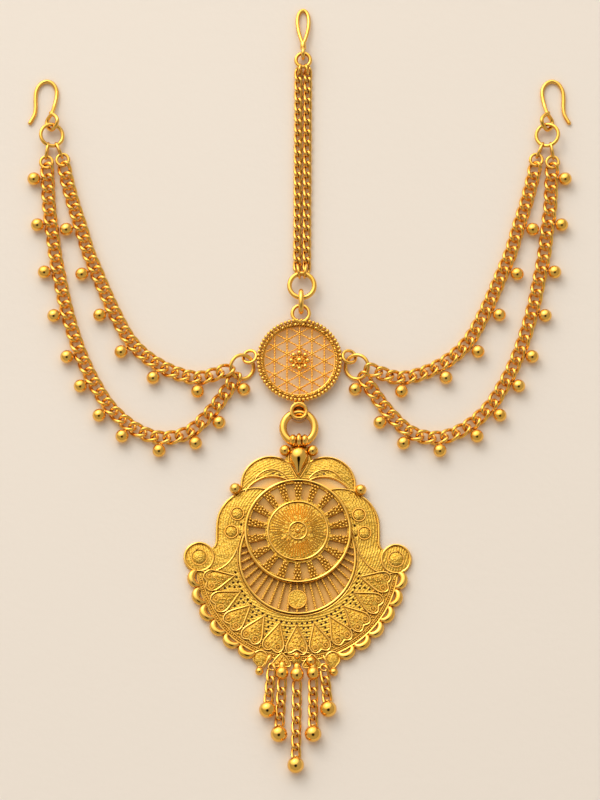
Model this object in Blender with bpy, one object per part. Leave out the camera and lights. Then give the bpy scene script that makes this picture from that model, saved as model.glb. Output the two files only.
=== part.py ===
"""A gold forehead chain laid flat, its back on z = 0 and its long side along Y.

A pierced round medallion sits at the origin. A parting chain of two strands runs up from it to a
teardrop loop, two curved chains run from each side of it to an ear hook, and a large pierced
pendant with five tassels hangs below it. Lengths are in metres.
"""

import math

import bmesh
import bpy
from mathutils import Matrix, Vector

# Clearances and weld depths
GAP = 0.0003
WELD = 0.0003

# Medallion
MEDALLION_RADIUS = 0.01065
MEDALLION_HEIGHT = 0.0030
RIM_WIDTH = 0.00175
LATTICE_BASE = 0.0008
LATTICE_THICKNESS = 0.0009
LATTICE_SIDE = 0.0036
LATTICE_STRUT = 0.0007
FLOWER_DISC_RADIUS = 0.00275
FLOWER_DISC_THICKNESS = 0.0007
FLOWER_RING_RADIUS = 0.0020
FLOWER_BEAD_RADIUS = 0.00058
FLOWER_HEART_RADIUS = 0.00085
FLOWER_BEADS = 8

# Loops soldered to the medallion
TOP_EYE_RADIUS = 0.0021
TOP_EYE_WIRE = 0.00085
TOP_EYE_REACH = 0.00165
SIDE_EYE_RADIUS = 0.00165
SIDE_EYE_WIRE = 0.0008
SIDE_EYE_REACH = 0.0018
SIDE_EYE_RISE = 0.00105
SIDE_EYE_TILT = math.radians(20)
SIDE_HEIGHT = 0.0017

# Bail under the medallion and the heavy ring that hangs in it
BAIL_RADIUS = 0.0022
BAIL_BORE = 0.0014
BAIL_HEIGHT = 0.0043
BAIL_REACH = 0.0029
HANG_X = -0.00015
PENDANT_RING_RADIUS = 0.00385
PENDANT_RING_WIRE = 0.0018
BEAD_WALL = 0.0007
BEAD_RADIUS = PENDANT_RING_WIRE / 2 + GAP + BEAD_WALL
PENDANT_RING_HEIGHT = BEAD_RADIUS

# Side rings, which hang a little loose in the side eyes
SIDE_RING_RADIUS = 0.00295
SIDE_RING_WIRE = 0.0008
SIDE_RING_TILT = math.radians(24)
SIDE_RING_PLAY = 0.00054
SIDE_RING_HEADING = math.radians(35.6)

# Parting chain: top loop, rings, strands and centre link
PARTING_X = 0.0006
PARTING_LEAN = math.radians(-0.35)
PARTING_RING_RADIUS = 0.00305
PARTING_RING_WIRE = 0.00115
CENTRE_LINK_WIRE = 0.00135
CENTRE_LINK_SPACE = 0.0024
STRAND_RADIUS = 0.00103
STRAND_LENGTH = 0.0532
TOP_RING_RADIUS = 0.00177
TOP_RING_WIRE = 0.0009
TOP_LOOP_WIRE = 0.0010
TOP_LOOP_LENGTH = 0.0097
TOP_LOOP_WIDTH = 0.0029
TOP_LOOP_NECK = 0.0014
TOP_LOOP_NECK_WIRE = 0.0015
TEARDROP_FULLNESS = 0.77

# Side chains and charms. A route runs from the hook's ring at (1, 1) to the side ring at (0, 0)
CHAIN_RADIUS = 0.00125
CHARM_RADIUS = 0.00165
CHARM_REACH = 0.0036
CHARM_STEM = 0.00045
END_LINK_RADIUS = 0.00145
END_LINK_WIRE = 0.0008
OUTER_ROUTE_SHARES = [
    (1.026, 0.8883), (1.0182, 0.7997), (1.0097, 0.688), (0.9911, 0.5829), (0.9726, 0.4745),
    (0.9458, 0.3711), (0.9169, 0.2644), (0.8725, 0.1412), (0.8261, 0.0394), (0.7642, -0.064),
    (0.6747, -0.1747), (0.5485, -0.2611), (0.4115, -0.2989), (0.2733, -0.2742), (0.1619, -0.1905),
    (0.0835, -0.1051), (0.0423, -0.055),
]
INNER_ROUTE_SHARES = [
    (0.9416, 0.8933), (0.921, 0.8161), (0.8839, 0.7044), (0.8416, 0.5993), (0.8034, 0.4975),
    (0.7622, 0.4171), (0.7127, 0.3218), (0.6559, 0.2233), (0.5848, 0.1209), (0.494, 0.0443),
    (0.361, -0.0181), (0.2226, -0.0443), (0.0815, -0.0164),
]
OUTER_CHARM_SHARES = [0.042, 0.153, 0.268, 0.375, 0.476, 0.55, 0.627, 0.692, 0.769, 0.837, 0.90, 0.985]
INNER_CHARM_SHARES = [0.229, 0.384, 0.531, 0.661, 0.779, 0.906]

# Ear hooks and their rings
HOOK_WIRE = 0.00095
HOOK_EYE_RADIUS = 0.00145
HOOK_EYE_TILT = math.radians(40)
HOOK_EYE_SWEEP = math.radians(300)
HOOK_RING_RADIUS = 0.0028
HOOK_RING_WIRE = 0.00085
HOOK_RING_TILT = math.radians(15)
HOOK_RING_CENTRE = (0.06283, 0.0593)
HOOK_RING_HEIGHT = 0.0020
HOOK_WIDTH = 0.0053
HOOK_HEIGHT = 0.0106
HOOK_TAIL = 0.0112
CONNECTOR_WIRE = 0.0006

# Pendant plate, in its own frame with the fan's centre at the origin, in shares of the fan's radius
PENDANT_X = -0.00047
BEAD_LIFT = 0.0006
PENDANT_LEAN = math.radians(-0.6)
PLATE = 0.0009
RELIEF = 0.0005
FAN_RADIUS = 0.0251
LOBE_RADIUS = 0.2988 * FAN_RADIUS
LOBE_CENTRE = (0.2749 * FAN_RADIUS, 0.7809 * FAN_RADIUS)
SCROLL_RADIUS = 0.1554 * FAN_RADIUS
SCROLL_CENTRE = (0.9705 * FAN_RADIUS, 0.0418 * FAN_RADIUS)
EDGE_WIRE = 0.0007
SHOULDER_SHARES = [
    (0.6375, 0.6813), (0.7171, 0.6116), (0.7769, 0.5179), (0.8048, 0.4263),
    (0.8108, 0.3088), (0.8127, 0.1992), (0.8327, 0.1474), (0.8566, 0.1394),
]
STUD_SHARES = [(0.6016, 0.4861), (0.6574, 0.3028)]
STUD_RADIUS = 0.0637 * FAN_RADIUS
LOBE_BALL_SHARES = [(0.6135, 0.7331)]
LOBE_BALL_RADIUS = 0.0538 * FAN_RADIUS

# Sunburst disc and the crescent of ribs below it
SUN_RISE = 0.3108 * FAN_RADIUS
SUN_RADIUS = 0.5219 * FAN_RADIUS
SUN_HEIGHT = 0.0021
SUN_FIELD_RADIUS = 0.3028 * FAN_RADIUS
SUN_BOSS_RADIUS = 0.0876 * FAN_RADIUS
SUN_GAPS = 18
SUN_GAP_INNER = 0.3307 * FAN_RADIUS
SUN_GAP_OUTER = 0.4741 * FAN_RADIUS
SUN_GAP_SHARE = 0.42
CRESCENT_RISE = 0.0510 * FAN_RADIUS
CRESCENT_RADIUS = 0.5876 * FAN_RADIUS
RIB_PITCH = math.radians(6.7)
RIB_WIDTH = 0.00075
RIBS_EACH_SIDE = 11
RIB_DISC_RADIUS = 0.0956 * FAN_RADIUS
RIB_DISC_DROP = 0.6853 * FAN_RADIUS
WINDOW_CENTRE = (0.2550 * FAN_RADIUS, 0.5657 * FAN_RADIUS)
WINDOW_RADIUS = 0.2948 * FAN_RADIUS

# Fan: petals and scallops
PETALS_EACH_SIDE = 5
PETAL_PITCH = math.radians(15.4)
PETAL_TIP = 0.6773 * FAN_RADIUS
PETAL_END = 0.9243 * FAN_RADIUS
PETAL_SHOULDER = 0.0478 * FAN_RADIUS
PETAL_NOTCH = 0.0279 * FAN_RADIUS
SCALLOPS_EACH_SIDE = 6
SCALLOP_START = math.radians(28.6)
SCALLOP_PITCH = math.radians(10.3)
SCALLOP_RADIUS = 0.0657 * FAN_RADIUS
SCALLOP_WIRE = 0.0011
SCALLOP_REACH = 1.004 * FAN_RADIUS

# Bail bead, balls and drop above the plate
BEAD_RISE = 1.2291 * FAN_RADIUS
BEAD_SIDE_RADIUS = 0.0598 * FAN_RADIUS
BEAD_SPREAD = 0.0598 * FAN_RADIUS
SIDE_BALL_RADIUS = 0.0518 * FAN_RADIUS
SIDE_BALL_SHARES = [(0.1355, 1.1355)]
DROP_RADIUS = 0.0757 * FAN_RADIUS
DROP_RISE = 1.0717 * FAN_RADIUS
DROP_TIP = 0.8685 * FAN_RADIUS

# Row of motifs below the fan, the caps and the tassels
MOTIF_SHARES = [
    (-0.3347, -0.9522), (-0.1375, -0.988), (0.004, -0.9801), (0.1474, -0.9841),
    (0.3526, -0.9522),
]
MOTIF_RADIUS = 0.0817 * FAN_RADIUS
CAP_SHARES = [
    (-0.243, -1.0199), (-0.1315, -1.0916), (0.012, -1.1036), (0.1653, -1.0916),
    (0.2749, -1.0239),
]
CAP_RADIUS_SHARES = [0.0359, 0.0558, 0.0637, 0.0578, 0.0359]
SPUR_SHARES = [(-0.3526, -1.0637), (0.3625, -1.0598)]
SPUR_RADIUS = 0.0478 * FAN_RADIUS
TASSEL_LENGTHS = [0.0088, 0.0125, 0.0196, 0.0123, 0.0084]
TASSEL_SPLAY_SHARES = [-0.10, -0.057, -0.014, 0.0, 0.095]
TASSEL_RADIUS = 0.0009
TASSEL_BALL = 0.0021


def clear_scene():
    for item in list(bpy.data.objects):
        bpy.data.objects.remove(item, do_unlink=True)


def gold(name, colour=(0.83, 0.52, 0.14), roughness=0.22):
    """A gold finish of its own for one sub-part."""
    material = bpy.data.materials.new(name + "_gold")
    material.use_nodes = True
    surface = material.node_tree.nodes["Principled BSDF"]
    surface.inputs["Base Color"].default_value = (*colour, 1.0)
    surface.inputs["Metallic"].default_value = 1.0
    surface.inputs["Roughness"].default_value = roughness
    return material


def placed(name, data, material):
    """A named object that shows this mesh or curve."""
    data.materials.clear()
    data.materials.append(material)
    item = bpy.data.objects.new(name, data)
    bpy.context.scene.collection.objects.link(item)
    return item


def mesh_from(bm):
    """A smooth-shaded mesh from a bmesh, with its faces turned outward."""
    bmesh.ops.recalc_face_normals(bm, faces=bm.faces)
    mesh = bpy.data.meshes.new("shape")
    bm.to_mesh(mesh)
    bm.free()
    mesh.shade_smooth()
    mesh.set_sharp_from_angle(angle=math.radians(40))
    return mesh


def joined(meshes):
    """Shapes that don't touch each other, as one mesh."""
    bm = bmesh.new()
    for mesh in meshes:
        bm.from_mesh(mesh)
    return mesh_from(bm)


def combined(body_mesh, tool_mesh, operation="UNION"):
    """The exact union, difference or intersection of two closed meshes."""
    body = bpy.data.objects.new("body", body_mesh)
    tool = bpy.data.objects.new("tool", tool_mesh)
    for item in (body, tool):
        bpy.context.scene.collection.objects.link(item)
    modifier = body.modifiers.new("combine", "BOOLEAN")
    modifier.operation = operation
    modifier.solver = "EXACT"
    modifier.object = tool
    graph = bpy.context.evaluated_depsgraph_get()
    result = bpy.data.meshes.new_from_object(body.evaluated_get(graph))
    for item in (body, tool):
        bpy.data.objects.remove(item, do_unlink=True)
    return result


def fused(meshes):
    """One body from shapes that overlap each other."""
    result = meshes[0]
    for mesh in meshes[1:]:
        result = combined(result, mesh)
    return result


def moved(mesh, matrix):
    mesh.transform(matrix)
    return mesh


def spline_points(route):
    """Points of a smooth curve through the route, six to each stretch."""
    last = len(route) - 1
    points = []
    for index in range(last):
        spots = (max(index - 1, 0), index, index + 1, min(index + 2, last))
        a, b, c, d = (Vector(route[spot]) for spot in spots)
        slope = (c - a) / 2
        bend = a - 2.5 * b + 2 * c - d / 2
        twist = (3 * b - a - 3 * c + d) / 2
        for step in range(6):
            t = step / 6
            points.append(b + slope * t + bend * t**2 + twist * t**3)
    points.append(Vector(route[-1]))
    return points


def evenly(points, spacing):
    """The same path with its points about this far apart."""
    lengths = [0.0]
    for a, b in zip(points, points[1:]):
        lengths.append(lengths[-1] + (b - a).length)
    count = max(2, round(lengths[-1] / spacing))
    return [at_length(points, lengths, lengths[-1] * k / count) for k in range(count + 1)]


def at_length(points, lengths, wanted):
    """The point this far along a path whose running lengths are known."""
    for index in range(1, len(points)):
        if lengths[index] >= wanted - 1e-9:
            share = (wanted - lengths[index - 1]) / (lengths[index] - lengths[index - 1])
            return points[index - 1].lerp(points[index], share)
    return points[-1]


def wire_data(points, radius, steps=1):
    """A round wire through the points, with 4 + 2 x steps sides."""
    data = bpy.data.curves.new("wire", "CURVE")
    data.dimensions = "3D"
    data.twist_mode = "MINIMUM"
    data.bevel_depth = radius
    data.bevel_resolution = steps
    data.use_fill_caps = True
    spline = data.splines.new("POLY")
    spline.points.add(len(points) - 1)
    for spot, point in zip(spline.points, points):
        spot.co = (*point, 1.0)
    spline.use_smooth = True
    return data


def wire_mesh(points, radius, steps=1):
    """The same wire as a mesh, its caps welded to its side."""
    item = bpy.data.objects.new("wire", wire_data(points, radius, steps))
    bpy.context.scene.collection.objects.link(item)
    graph = bpy.context.evaluated_depsgraph_get()
    mesh = bpy.data.meshes.new_from_object(item.evaluated_get(graph))
    bpy.data.objects.remove(item, do_unlink=True)
    bm = bmesh.new()
    bm.from_mesh(mesh)
    bmesh.ops.remove_doubles(bm, verts=bm.verts, dist=1e-7)
    return mesh_from(bm)


def turned(profile, steps, centre=(0.0, 0.0, 0.0)):
    """A profile of (radius, height) corners turned about the vertical through the centre."""
    bm = bmesh.new()
    corners = [bm.verts.new((radius, 0.0, height)) for radius, height in profile]
    edges = [bm.edges.new(pair) for pair in zip(corners, corners[1:])]
    if min(radius for radius, height in profile) > 0:
        edges.append(bm.edges.new((corners[-1], corners[0])))
    bmesh.ops.spin(
        bm, geom=corners + edges, axis=(0, 0, 1), cent=(0, 0, 0), angle=math.tau, steps=steps, use_merge=True
    )
    bmesh.ops.remove_doubles(bm, verts=bm.verts, dist=1e-7)
    bmesh.ops.translate(bm, verts=bm.verts, vec=centre)
    return mesh_from(bm)


def ring(centre, radius, wire, turn=None, stretch=1.0, steps=12, sides=5):
    """A closed round ring about the vertical, stretched along Y and then turned."""
    profile = [
        (radius + wire / 2 * math.cos(math.tau * k / sides), wire / 2 * math.sin(math.tau * k / sides))
        for k in range(sides)
    ]
    mesh = turned(profile, steps)
    if stretch != 1.0:
        for vertex in mesh.vertices:
            flat = Vector((vertex.co.x, vertex.co.y, 0.0))
            vertex.co.y += flat.normalized().y * radius * (stretch - 1)
    if turn is not None:
        moved(mesh, turn)
    return moved(mesh, Matrix.Translation(centre))


def ball(centre, radius, sides=10, rows=5):
    bm = bmesh.new()
    bmesh.ops.create_uvsphere(bm, u_segments=sides, v_segments=rows, radius=radius)
    bmesh.ops.translate(bm, verts=bm.verts, vec=centre)
    return mesh_from(bm)


def prism(outline, bottom, top):
    """An outline of (x, y) corners raised from one height to another."""
    bm = bmesh.new()
    face = bm.faces.new([bm.verts.new((x, y, bottom)) for x, y in outline])
    grown = bmesh.ops.extrude_face_region(bm, geom=[face])
    raised = [element for element in grown["geom"] if isinstance(element, bmesh.types.BMVert)]
    bmesh.ops.translate(bm, verts=raised, vec=(0, 0, top - bottom))
    return mesh_from(bm)


def arc(centre, radius, start, end, count):
    """Points (x, y) along an arc, its angles in degrees."""
    angles = [math.radians(start + (end - start) * k / count) for k in range(count + 1)]
    return [(centre[0] + radius * math.cos(a), centre[1] + radius * math.sin(a)) for a in angles]


def circle(centre, radius, count):
    """Points (x, y) round a whole circle."""
    return arc(centre, radius, 0, 360, count)[:-1]


def polar(centre, radius, angle):
    """A point seen from the centre at this angle from straight down, positive to the right."""
    return (centre[0] + radius * math.sin(angle), centre[1] - radius * math.cos(angle))


def mirrored(places):
    return [(sign * x, y) for sign in (-1, 1) for x, y in places]


def fan_places(shares):
    """Places on the pendant from shares of the fan's radius."""
    return [(FAN_RADIUS * x, FAN_RADIUS * y) for x, y in shares]


def raised_path(path, height):
    return [Vector((x, y, height)) for x, y in path]


def lattice_gaps():
    """The triangular gaps between the lattice wires that lie clear of the rim and the flower."""
    window = MEDALLION_RADIUS - RIM_WIDTH
    row = LATTICE_SIDE * math.sqrt(3) / 2
    corner_radius = LATTICE_SIDE / math.sqrt(3) - LATTICE_STRUT
    reach = math.ceil(window / row)
    gaps = []
    for column in range(-reach, reach):
        for step in range(-2 * reach, 2 * reach):
            for side in (1, 2):
                x = (column + side / 3) * row
                y = step * LATTICE_SIDE / 2
                inside = FLOWER_DISC_RADIUS < math.hypot(x, y) < window - corner_radius / 2
                if (step + column + side) % 2 or not inside:
                    continue
                first = 0 if side == 1 else 180
                outline = arc((x, y), corner_radius, first, first + 240, 2)
                gaps.append(prism(outline, -LATTICE_THICKNESS, MEDALLION_HEIGHT))
    return gaps


def make_medallion():
    top = MEDALLION_HEIGHT
    window = MEDALLION_RADIUS - RIM_WIDTH
    rim = turned(
        [
            (window, 0.0), (MEDALLION_RADIUS - 0.2 * RIM_WIDTH, 0.0), (MEDALLION_RADIUS, 0.3 * top),
            (MEDALLION_RADIUS, 0.75 * top), (MEDALLION_RADIUS - 0.4 * RIM_WIDTH, top), (window, 0.75 * top),
        ],
        32,
    )
    lattice_top = LATTICE_BASE + LATTICE_THICKNESS
    lattice = prism(circle((0, 0), window + WELD, 40), LATTICE_BASE, lattice_top)
    clear = prism(circle((0, 0), window - WELD, 36), -top, 2 * top)
    lattice = combined(lattice, combined(joined(lattice_gaps()), clear, "INTERSECT"), "DIFFERENCE")
    disc_top = lattice_top + FLOWER_DISC_THICKNESS
    disc = prism(circle((0, 0), FLOWER_DISC_RADIUS, 24), 0.0, disc_top)
    petals = []
    for k in range(FLOWER_BEADS):
        x, y = polar((0, 0), FLOWER_RING_RADIUS, math.tau * k / FLOWER_BEADS)
        petals.append(ball((x, y, disc_top), FLOWER_BEAD_RADIUS, 6, 4))
    heart = ball((0, 0, disc_top + WELD), FLOWER_HEART_RADIUS, rows=4)
    top_eye = (PARTING_X / 2, MEDALLION_RADIUS + TOP_EYE_REACH, link_height())
    eyes = [ring(top_eye, TOP_EYE_RADIUS, TOP_EYE_WIRE)]
    for sign in (-1, 1):
        turn = eye_turn(sign, SIDE_EYE_TILT)
        x, y = side_eye_centre()
        place = (sign * x, y, SIDE_HEIGHT)
        eyes.append(ring(place, SIDE_EYE_RADIUS, SIDE_EYE_WIRE, turn, steps=10))
    body = fused([rim, lattice, disc, joined(petals), heart, joined(eyes), bail_blank()])
    body = combined(body, bail_cutter(), "DIFFERENCE")
    placed("medallion", body, gold("medallion"))


def side_eye_centre():
    return (MEDALLION_RADIUS + SIDE_EYE_REACH, SIDE_EYE_RISE)


def side_ring_centre():
    """Where the right side ring hangs in its eye."""
    reach = SIDE_EYE_RADIUS + SIDE_RING_RADIUS - (SIDE_EYE_WIRE + SIDE_RING_WIRE) / 2 - SIDE_RING_PLAY
    return polar(side_eye_centre(), reach, SIDE_RING_HEADING)


def eye_turn(sign, tilt):
    """Turns a side eye or side ring about the line between their two centres."""
    line = Vector((-sign * math.sin(SIDE_RING_HEADING), math.cos(SIDE_RING_HEADING), 0))
    return Matrix.Rotation(sign * tilt, 4, line)


def bail_blank():
    """The bail's barrel and the neck that joins it to the rim, still solid."""
    y = -MEDALLION_RADIUS - BAIL_REACH
    barrel = prism(circle((HANG_X, y), BAIL_RADIUS, 18), 0.0, BAIL_HEIGHT)
    half = BAIL_RADIUS / 2
    neck_end = -MEDALLION_RADIUS + RIM_WIDTH / 2
    outline = [(HANG_X - half, y), (HANG_X + half, y), (HANG_X + half, neck_end), (HANG_X - half, neck_end)]
    return combined(barrel, prism(outline, WELD, 0.7 * MEDALLION_HEIGHT))


def bail_cutter():
    """The upright bore and the curved way through which the pendant's ring passes."""
    y = -MEDALLION_RADIUS - BAIL_REACH
    bore = prism(circle((HANG_X, y), BAIL_BORE, 12), -WELD, BAIL_HEIGHT + WELD)
    way = ring(pendant_ring_centre(), PENDANT_RING_RADIUS, PENDANT_RING_WIRE + 2 * GAP, steps=18)
    return combined(bore, way)


def pendant_ring_centre():
    y = -MEDALLION_RADIUS - BAIL_REACH - PENDANT_RING_RADIUS
    return (HANG_X, y, PENDANT_RING_HEIGHT)


def link_height():
    """Height of the parting ring and of what the centre link holds."""
    return PARTING_RING_WIRE / 2 + GAP + CENTRE_LINK_WIRE + GAP / 2


def centre_link_span():
    """Heights in y of the two wires that the centre link holds: below and above."""
    low = MEDALLION_RADIUS + TOP_EYE_REACH + TOP_EYE_RADIUS
    return low, low + CENTRE_LINK_SPACE


def link_around(low, high, low_wire, high_wire, wire):
    """Middle, half length and half height of an upright link round two wires."""
    bottom = low - low_wire / 2 - GAP - wire / 2
    top = high + high_wire / 2 + GAP + wire / 2
    half_height = max(low_wire, high_wire) / 2 + GAP + wire / 2
    return (bottom + top) / 2, (top - bottom) / 2, half_height


def upright():
    """Stands a flat ring on edge with its long side along Y."""
    return Matrix.Rotation(math.pi / 2, 4, "Y")


def make_parting():
    low, high = centre_link_span()
    wires = (TOP_EYE_WIRE, PARTING_RING_WIRE, CENTRE_LINK_WIRE)
    middle, half_length, half_height = link_around(low, high, *wires)
    height = link_height()
    place = (PARTING_X / 2 + WELD / 3, middle, height)
    link = ring(place, half_height, CENTRE_LINK_WIRE, upright(), half_length / half_height)
    placed("centre_link", link, gold("centre_link"))
    ring_y = high + PARTING_RING_RADIUS
    loop = ring((PARTING_X, ring_y, height), PARTING_RING_RADIUS, PARTING_RING_WIRE, steps=14, sides=6)
    placed("parting_ring", loop, gold("parting_ring"))
    start = ring_y + PARTING_RING_RADIUS + PARTING_RING_WIRE / 2 + GAP
    end = start + STRAND_LENGTH
    for name, sign in (("left", -1), ("right", 1)):
        offset = sign * (STRAND_RADIUS + GAP / 2)
        path = [
            Vector((PARTING_X + offset - (y - start) * math.tan(PARTING_LEAN), y, STRAND_RADIUS))
            for y in (start + (end - start) * k / 9 for k in range(10))
        ]
        data = wire_data(path, STRAND_RADIUS, steps=2)
        placed("parting_strand_" + name, data, gold("parting_strand_" + name))
    make_top_loop(end)


def make_top_loop(strand_end):
    eye_radius = TOP_RING_WIRE / 2 + GAP + TOP_LOOP_WIRE / 2
    height = eye_radius + TOP_LOOP_WIRE / 2
    ring_y = strand_end + GAP + TOP_RING_WIRE / 2 + TOP_RING_RADIUS
    x = PARTING_X - STRAND_LENGTH * math.tan(PARTING_LEAN)
    loop = ring((x, ring_y, height), TOP_RING_RADIUS, TOP_RING_WIRE)
    placed("top_ring", loop, gold("top_ring"))
    eye_y = ring_y + TOP_RING_RADIUS
    eye = ring((x, eye_y, height), eye_radius, TOP_LOOP_WIRE, upright())
    neck_start = eye_y + eye_radius
    neck_ends = [Vector((x, neck_start + rise, height)) for rise in (0, TOP_LOOP_NECK)]
    neck = wire_mesh(neck_ends, TOP_LOOP_NECK_WIRE / 2)
    tear_start = neck_start + TOP_LOOP_NECK - WELD
    legs = []
    for sign, last, wire in ((-1, 11, TOP_LOOP_WIRE), (1, 10, 0.97 * TOP_LOOP_WIRE)):
        leg = []
        for k in range(1, last + 1):
            t = math.pi * k / 10
            across = TOP_LOOP_WIDTH / 2 / TEARDROP_FULLNESS * math.sin(t) * math.sin(t / 2)
            along = TOP_LOOP_LENGTH * (1 - math.cos(t)) / 2
            drop = (height - TOP_LOOP_WIRE / 2) * along / TOP_LOOP_LENGTH
            leg.append(Vector((x + sign * across, tear_start + along, height - drop)))
        legs.append(wire_mesh(leg, wire / 2))
    placed("top_loop", fused(legs + [neck, eye]), gold("top_loop"))


def make_pendant_ring():
    loop = ring(pendant_ring_centre(), PENDANT_RING_RADIUS, PENDANT_RING_WIRE, steps=18, sides=6)
    placed("pendant_ring", loop, gold("pendant_ring"))


def charm(path, share, outward):
    """A ball on a short stem that leaves the chain on its outer side."""
    lengths = [0.0]
    for a, b in zip(path, path[1:]):
        lengths.append(lengths[-1] + (b - a).length)
    wanted = share * lengths[-1]
    root = at_length(path, lengths, wanted)
    ahead = at_length(path, lengths, min(wanted + CHAIN_RADIUS, lengths[-1]))
    behind = at_length(path, lengths, max(wanted - CHAIN_RADIUS, 0.0))
    along = (ahead - behind).normalized()
    side = Vector((-along.y, along.x, 0.0)) * outward
    centre = root + side * CHARM_REACH
    centre.z = CHARM_RADIUS
    return combined(ball(centre, CHARM_RADIUS, rows=4), wire_mesh([root, centre], CHARM_STEM, steps=0))


def chain_route(route_shares):
    """The right chain's route, stretched between the side ring's centre and the hook ring's."""
    x0, y0 = side_ring_centre()
    x1, y1 = HOOK_RING_CENTRE
    return [(x0 + across * (x1 - x0), y0 + up * (y1 - y0)) for across, up in route_shares]


def make_side_chain(name, sign, route, shares):
    """A chain's envelope, its flat end link at the hook and its ball charms, as one body."""
    path = spline_points([(sign * x, y, CHAIN_RADIUS) for x, y in route])
    body = wire_mesh(evenly(path, 6 * CHAIN_RADIUS), CHAIN_RADIUS, steps=2)
    x, y = route[0]
    place = (sign * x, y + END_LINK_RADIUS, CHAIN_RADIUS)
    link = ring(place, END_LINK_RADIUS, END_LINK_WIRE, steps=10)
    charms = joined([charm(path, share, sign) for share in shares])
    placed(name, fused([body, link, charms]), gold(name))


def hook_turn(sign, tilt):
    return Matrix.Rotation(sign * tilt, 4, "Y")


def make_hook(side, sign):
    """An ear hook, flat but for the turned eye that holds its ring."""
    x0, ring_y = HOOK_RING_CENTRE
    eye_y = ring_y + HOOK_RING_RADIUS
    centre = Vector((sign * x0, eye_y, HOOK_RING_HEIGHT))
    turn = hook_turn(sign, HOOK_EYE_TILT)
    eye = []
    for k in range(10):
        a = math.pi / 2 + HOOK_EYE_SWEEP * k / 9
        spoke = Vector((-sign * math.cos(a), math.sin(a), 0))
        eye.append(centre + turn @ (HOOK_EYE_RADIUS * spoke))
    stem = x0 - 0.05 * HOOK_WIDTH
    low = HOOK_WIRE / 2
    level = HOOK_RING_HEIGHT
    rise = eye_y + HOOK_EYE_RADIUS
    bend = [
        (stem + 1.12 * HOOK_WIDTH, rise - 0.05 * HOOK_TAIL, low),
        (stem + 0.92 * HOOK_WIDTH, rise + 0.13 * HOOK_TAIL, low),
        (stem + 0.86 * HOOK_WIDTH, rise + 0.30 * HOOK_TAIL, low),
        (stem + 0.87 * HOOK_WIDTH, rise + 0.57 * HOOK_HEIGHT, low),
        (stem + 0.83 * HOOK_WIDTH, rise + 0.76 * HOOK_HEIGHT, low),
        (stem + 0.64 * HOOK_WIDTH, rise + 0.93 * HOOK_HEIGHT, low),
        (stem + 0.33 * HOOK_WIDTH, rise + HOOK_HEIGHT, low),
        (stem + 0.03 * HOOK_WIDTH, rise + 0.93 * HOOK_HEIGHT, low),
        (stem - 0.14 * HOOK_WIDTH, rise + 0.76 * HOOK_HEIGHT, low),
        (stem - 0.12 * HOOK_WIDTH, rise + 0.54 * HOOK_HEIGHT, low + 0.1 * level),
        (stem, rise + 0.30 * HOOK_HEIGHT, 0.55 * level),
        (stem + 0.05 * HOOK_WIDTH, rise, level),
    ]
    smooth = spline_points([(sign * x, y, z) for x, y, z in bend])
    path = evenly(smooth, 2.2 * HOOK_WIRE)[:-1] + eye
    data = wire_data(path, HOOK_WIRE / 2)
    placed("ear_hook_" + side, data, gold("ear_hook_" + side))


def make_hook_ring(side, sign):
    place = (sign * HOOK_RING_CENTRE[0], HOOK_RING_CENTRE[1], HOOK_RING_HEIGHT)
    turn = hook_turn(sign, -HOOK_RING_TILT)
    loop = ring(place, HOOK_RING_RADIUS, HOOK_RING_WIRE, turn)
    placed("hook_ring_" + side, loop, gold("hook_ring_" + side))


def make_connector(name, sign, route):
    """An upright link from the hook's ring to the flat end link of a chain."""
    x, y = route[0]
    held = Vector((x, y + END_LINK_RADIUS, 0.0))
    hook = Vector((*HOOK_RING_CENTRE, 0.0))
    heading = (hook - held).normalized()
    start = held + heading * END_LINK_RADIUS
    stop = hook - heading * HOOK_RING_RADIUS
    span = (stop - start).length
    middle, half_length, half_height = link_around(0.0, span, END_LINK_WIRE, HOOK_RING_WIRE, CONNECTOR_WIRE)
    spot = start + heading * middle
    spot.x *= sign
    tilt = HOOK_RING_HEIGHT + (stop.x - hook.x) * math.sin(HOOK_RING_TILT)
    low, high = CHAIN_RADIUS, tilt
    spot.z = (low + high) / 2
    slope = Matrix.Rotation(math.atan2(high - low, span), 4, "X")
    facing = Matrix.Rotation(math.atan2(-sign * heading.x, heading.y), 4, "Z")
    turn = facing @ slope @ upright()
    link = ring(spot, half_height, CONNECTOR_WIRE, turn, half_length / half_height, steps=10)
    placed(name, link, gold(name))


def make_side_ring(side, sign):
    x, y = side_ring_centre()
    place = (sign * x, y, SIDE_HEIGHT)
    turn = eye_turn(sign, -SIDE_RING_TILT)
    loop = ring(place, SIDE_RING_RADIUS, SIDE_RING_WIRE, turn)
    placed("side_ring_" + side, loop, gold("side_ring_" + side))


def plate_outline():
    """The plate's edge, from the notch between the lobes down the right side and back up the left."""
    notch = math.degrees(math.acos(-LOBE_CENTRE[0] / LOBE_RADIUS))
    lobe = arc(LOBE_CENTRE, LOBE_RADIUS, notch, -12, 10)
    scroll = arc(SCROLL_CENTRE, SCROLL_RADIUS, 128, -80, 10)
    fan_start = math.degrees(math.atan2(scroll[-1][1], scroll[-1][0]))
    fan = arc((0, 0), FAN_RADIUS, fan_start, -90, 12)
    right = lobe + fan_places(SHOULDER_SHARES) + scroll + fan[1:]
    left = [(-x, y) for x, y in reversed(right[1:-1])]
    return right + left


def sun_gaps():
    """Wedges between the granule columns of the sunburst disc."""
    centre = (0, SUN_RISE)
    half = math.pi / SUN_GAPS * SUN_GAP_SHARE
    gaps = []
    for k in range(SUN_GAPS):
        middle = math.tau * (k + 0.5) / SUN_GAPS
        corners = [
            polar(centre, radius, middle + turn)
            for radius, turn in (
                (SUN_GAP_INNER, -half), (SUN_GAP_OUTER, -half), (SUN_GAP_OUTER, half), (SUN_GAP_INNER, half)
            )
        ]
        gaps.append(prism(corners, -PLATE, 2 * SUN_HEIGHT))
    return gaps


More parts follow.
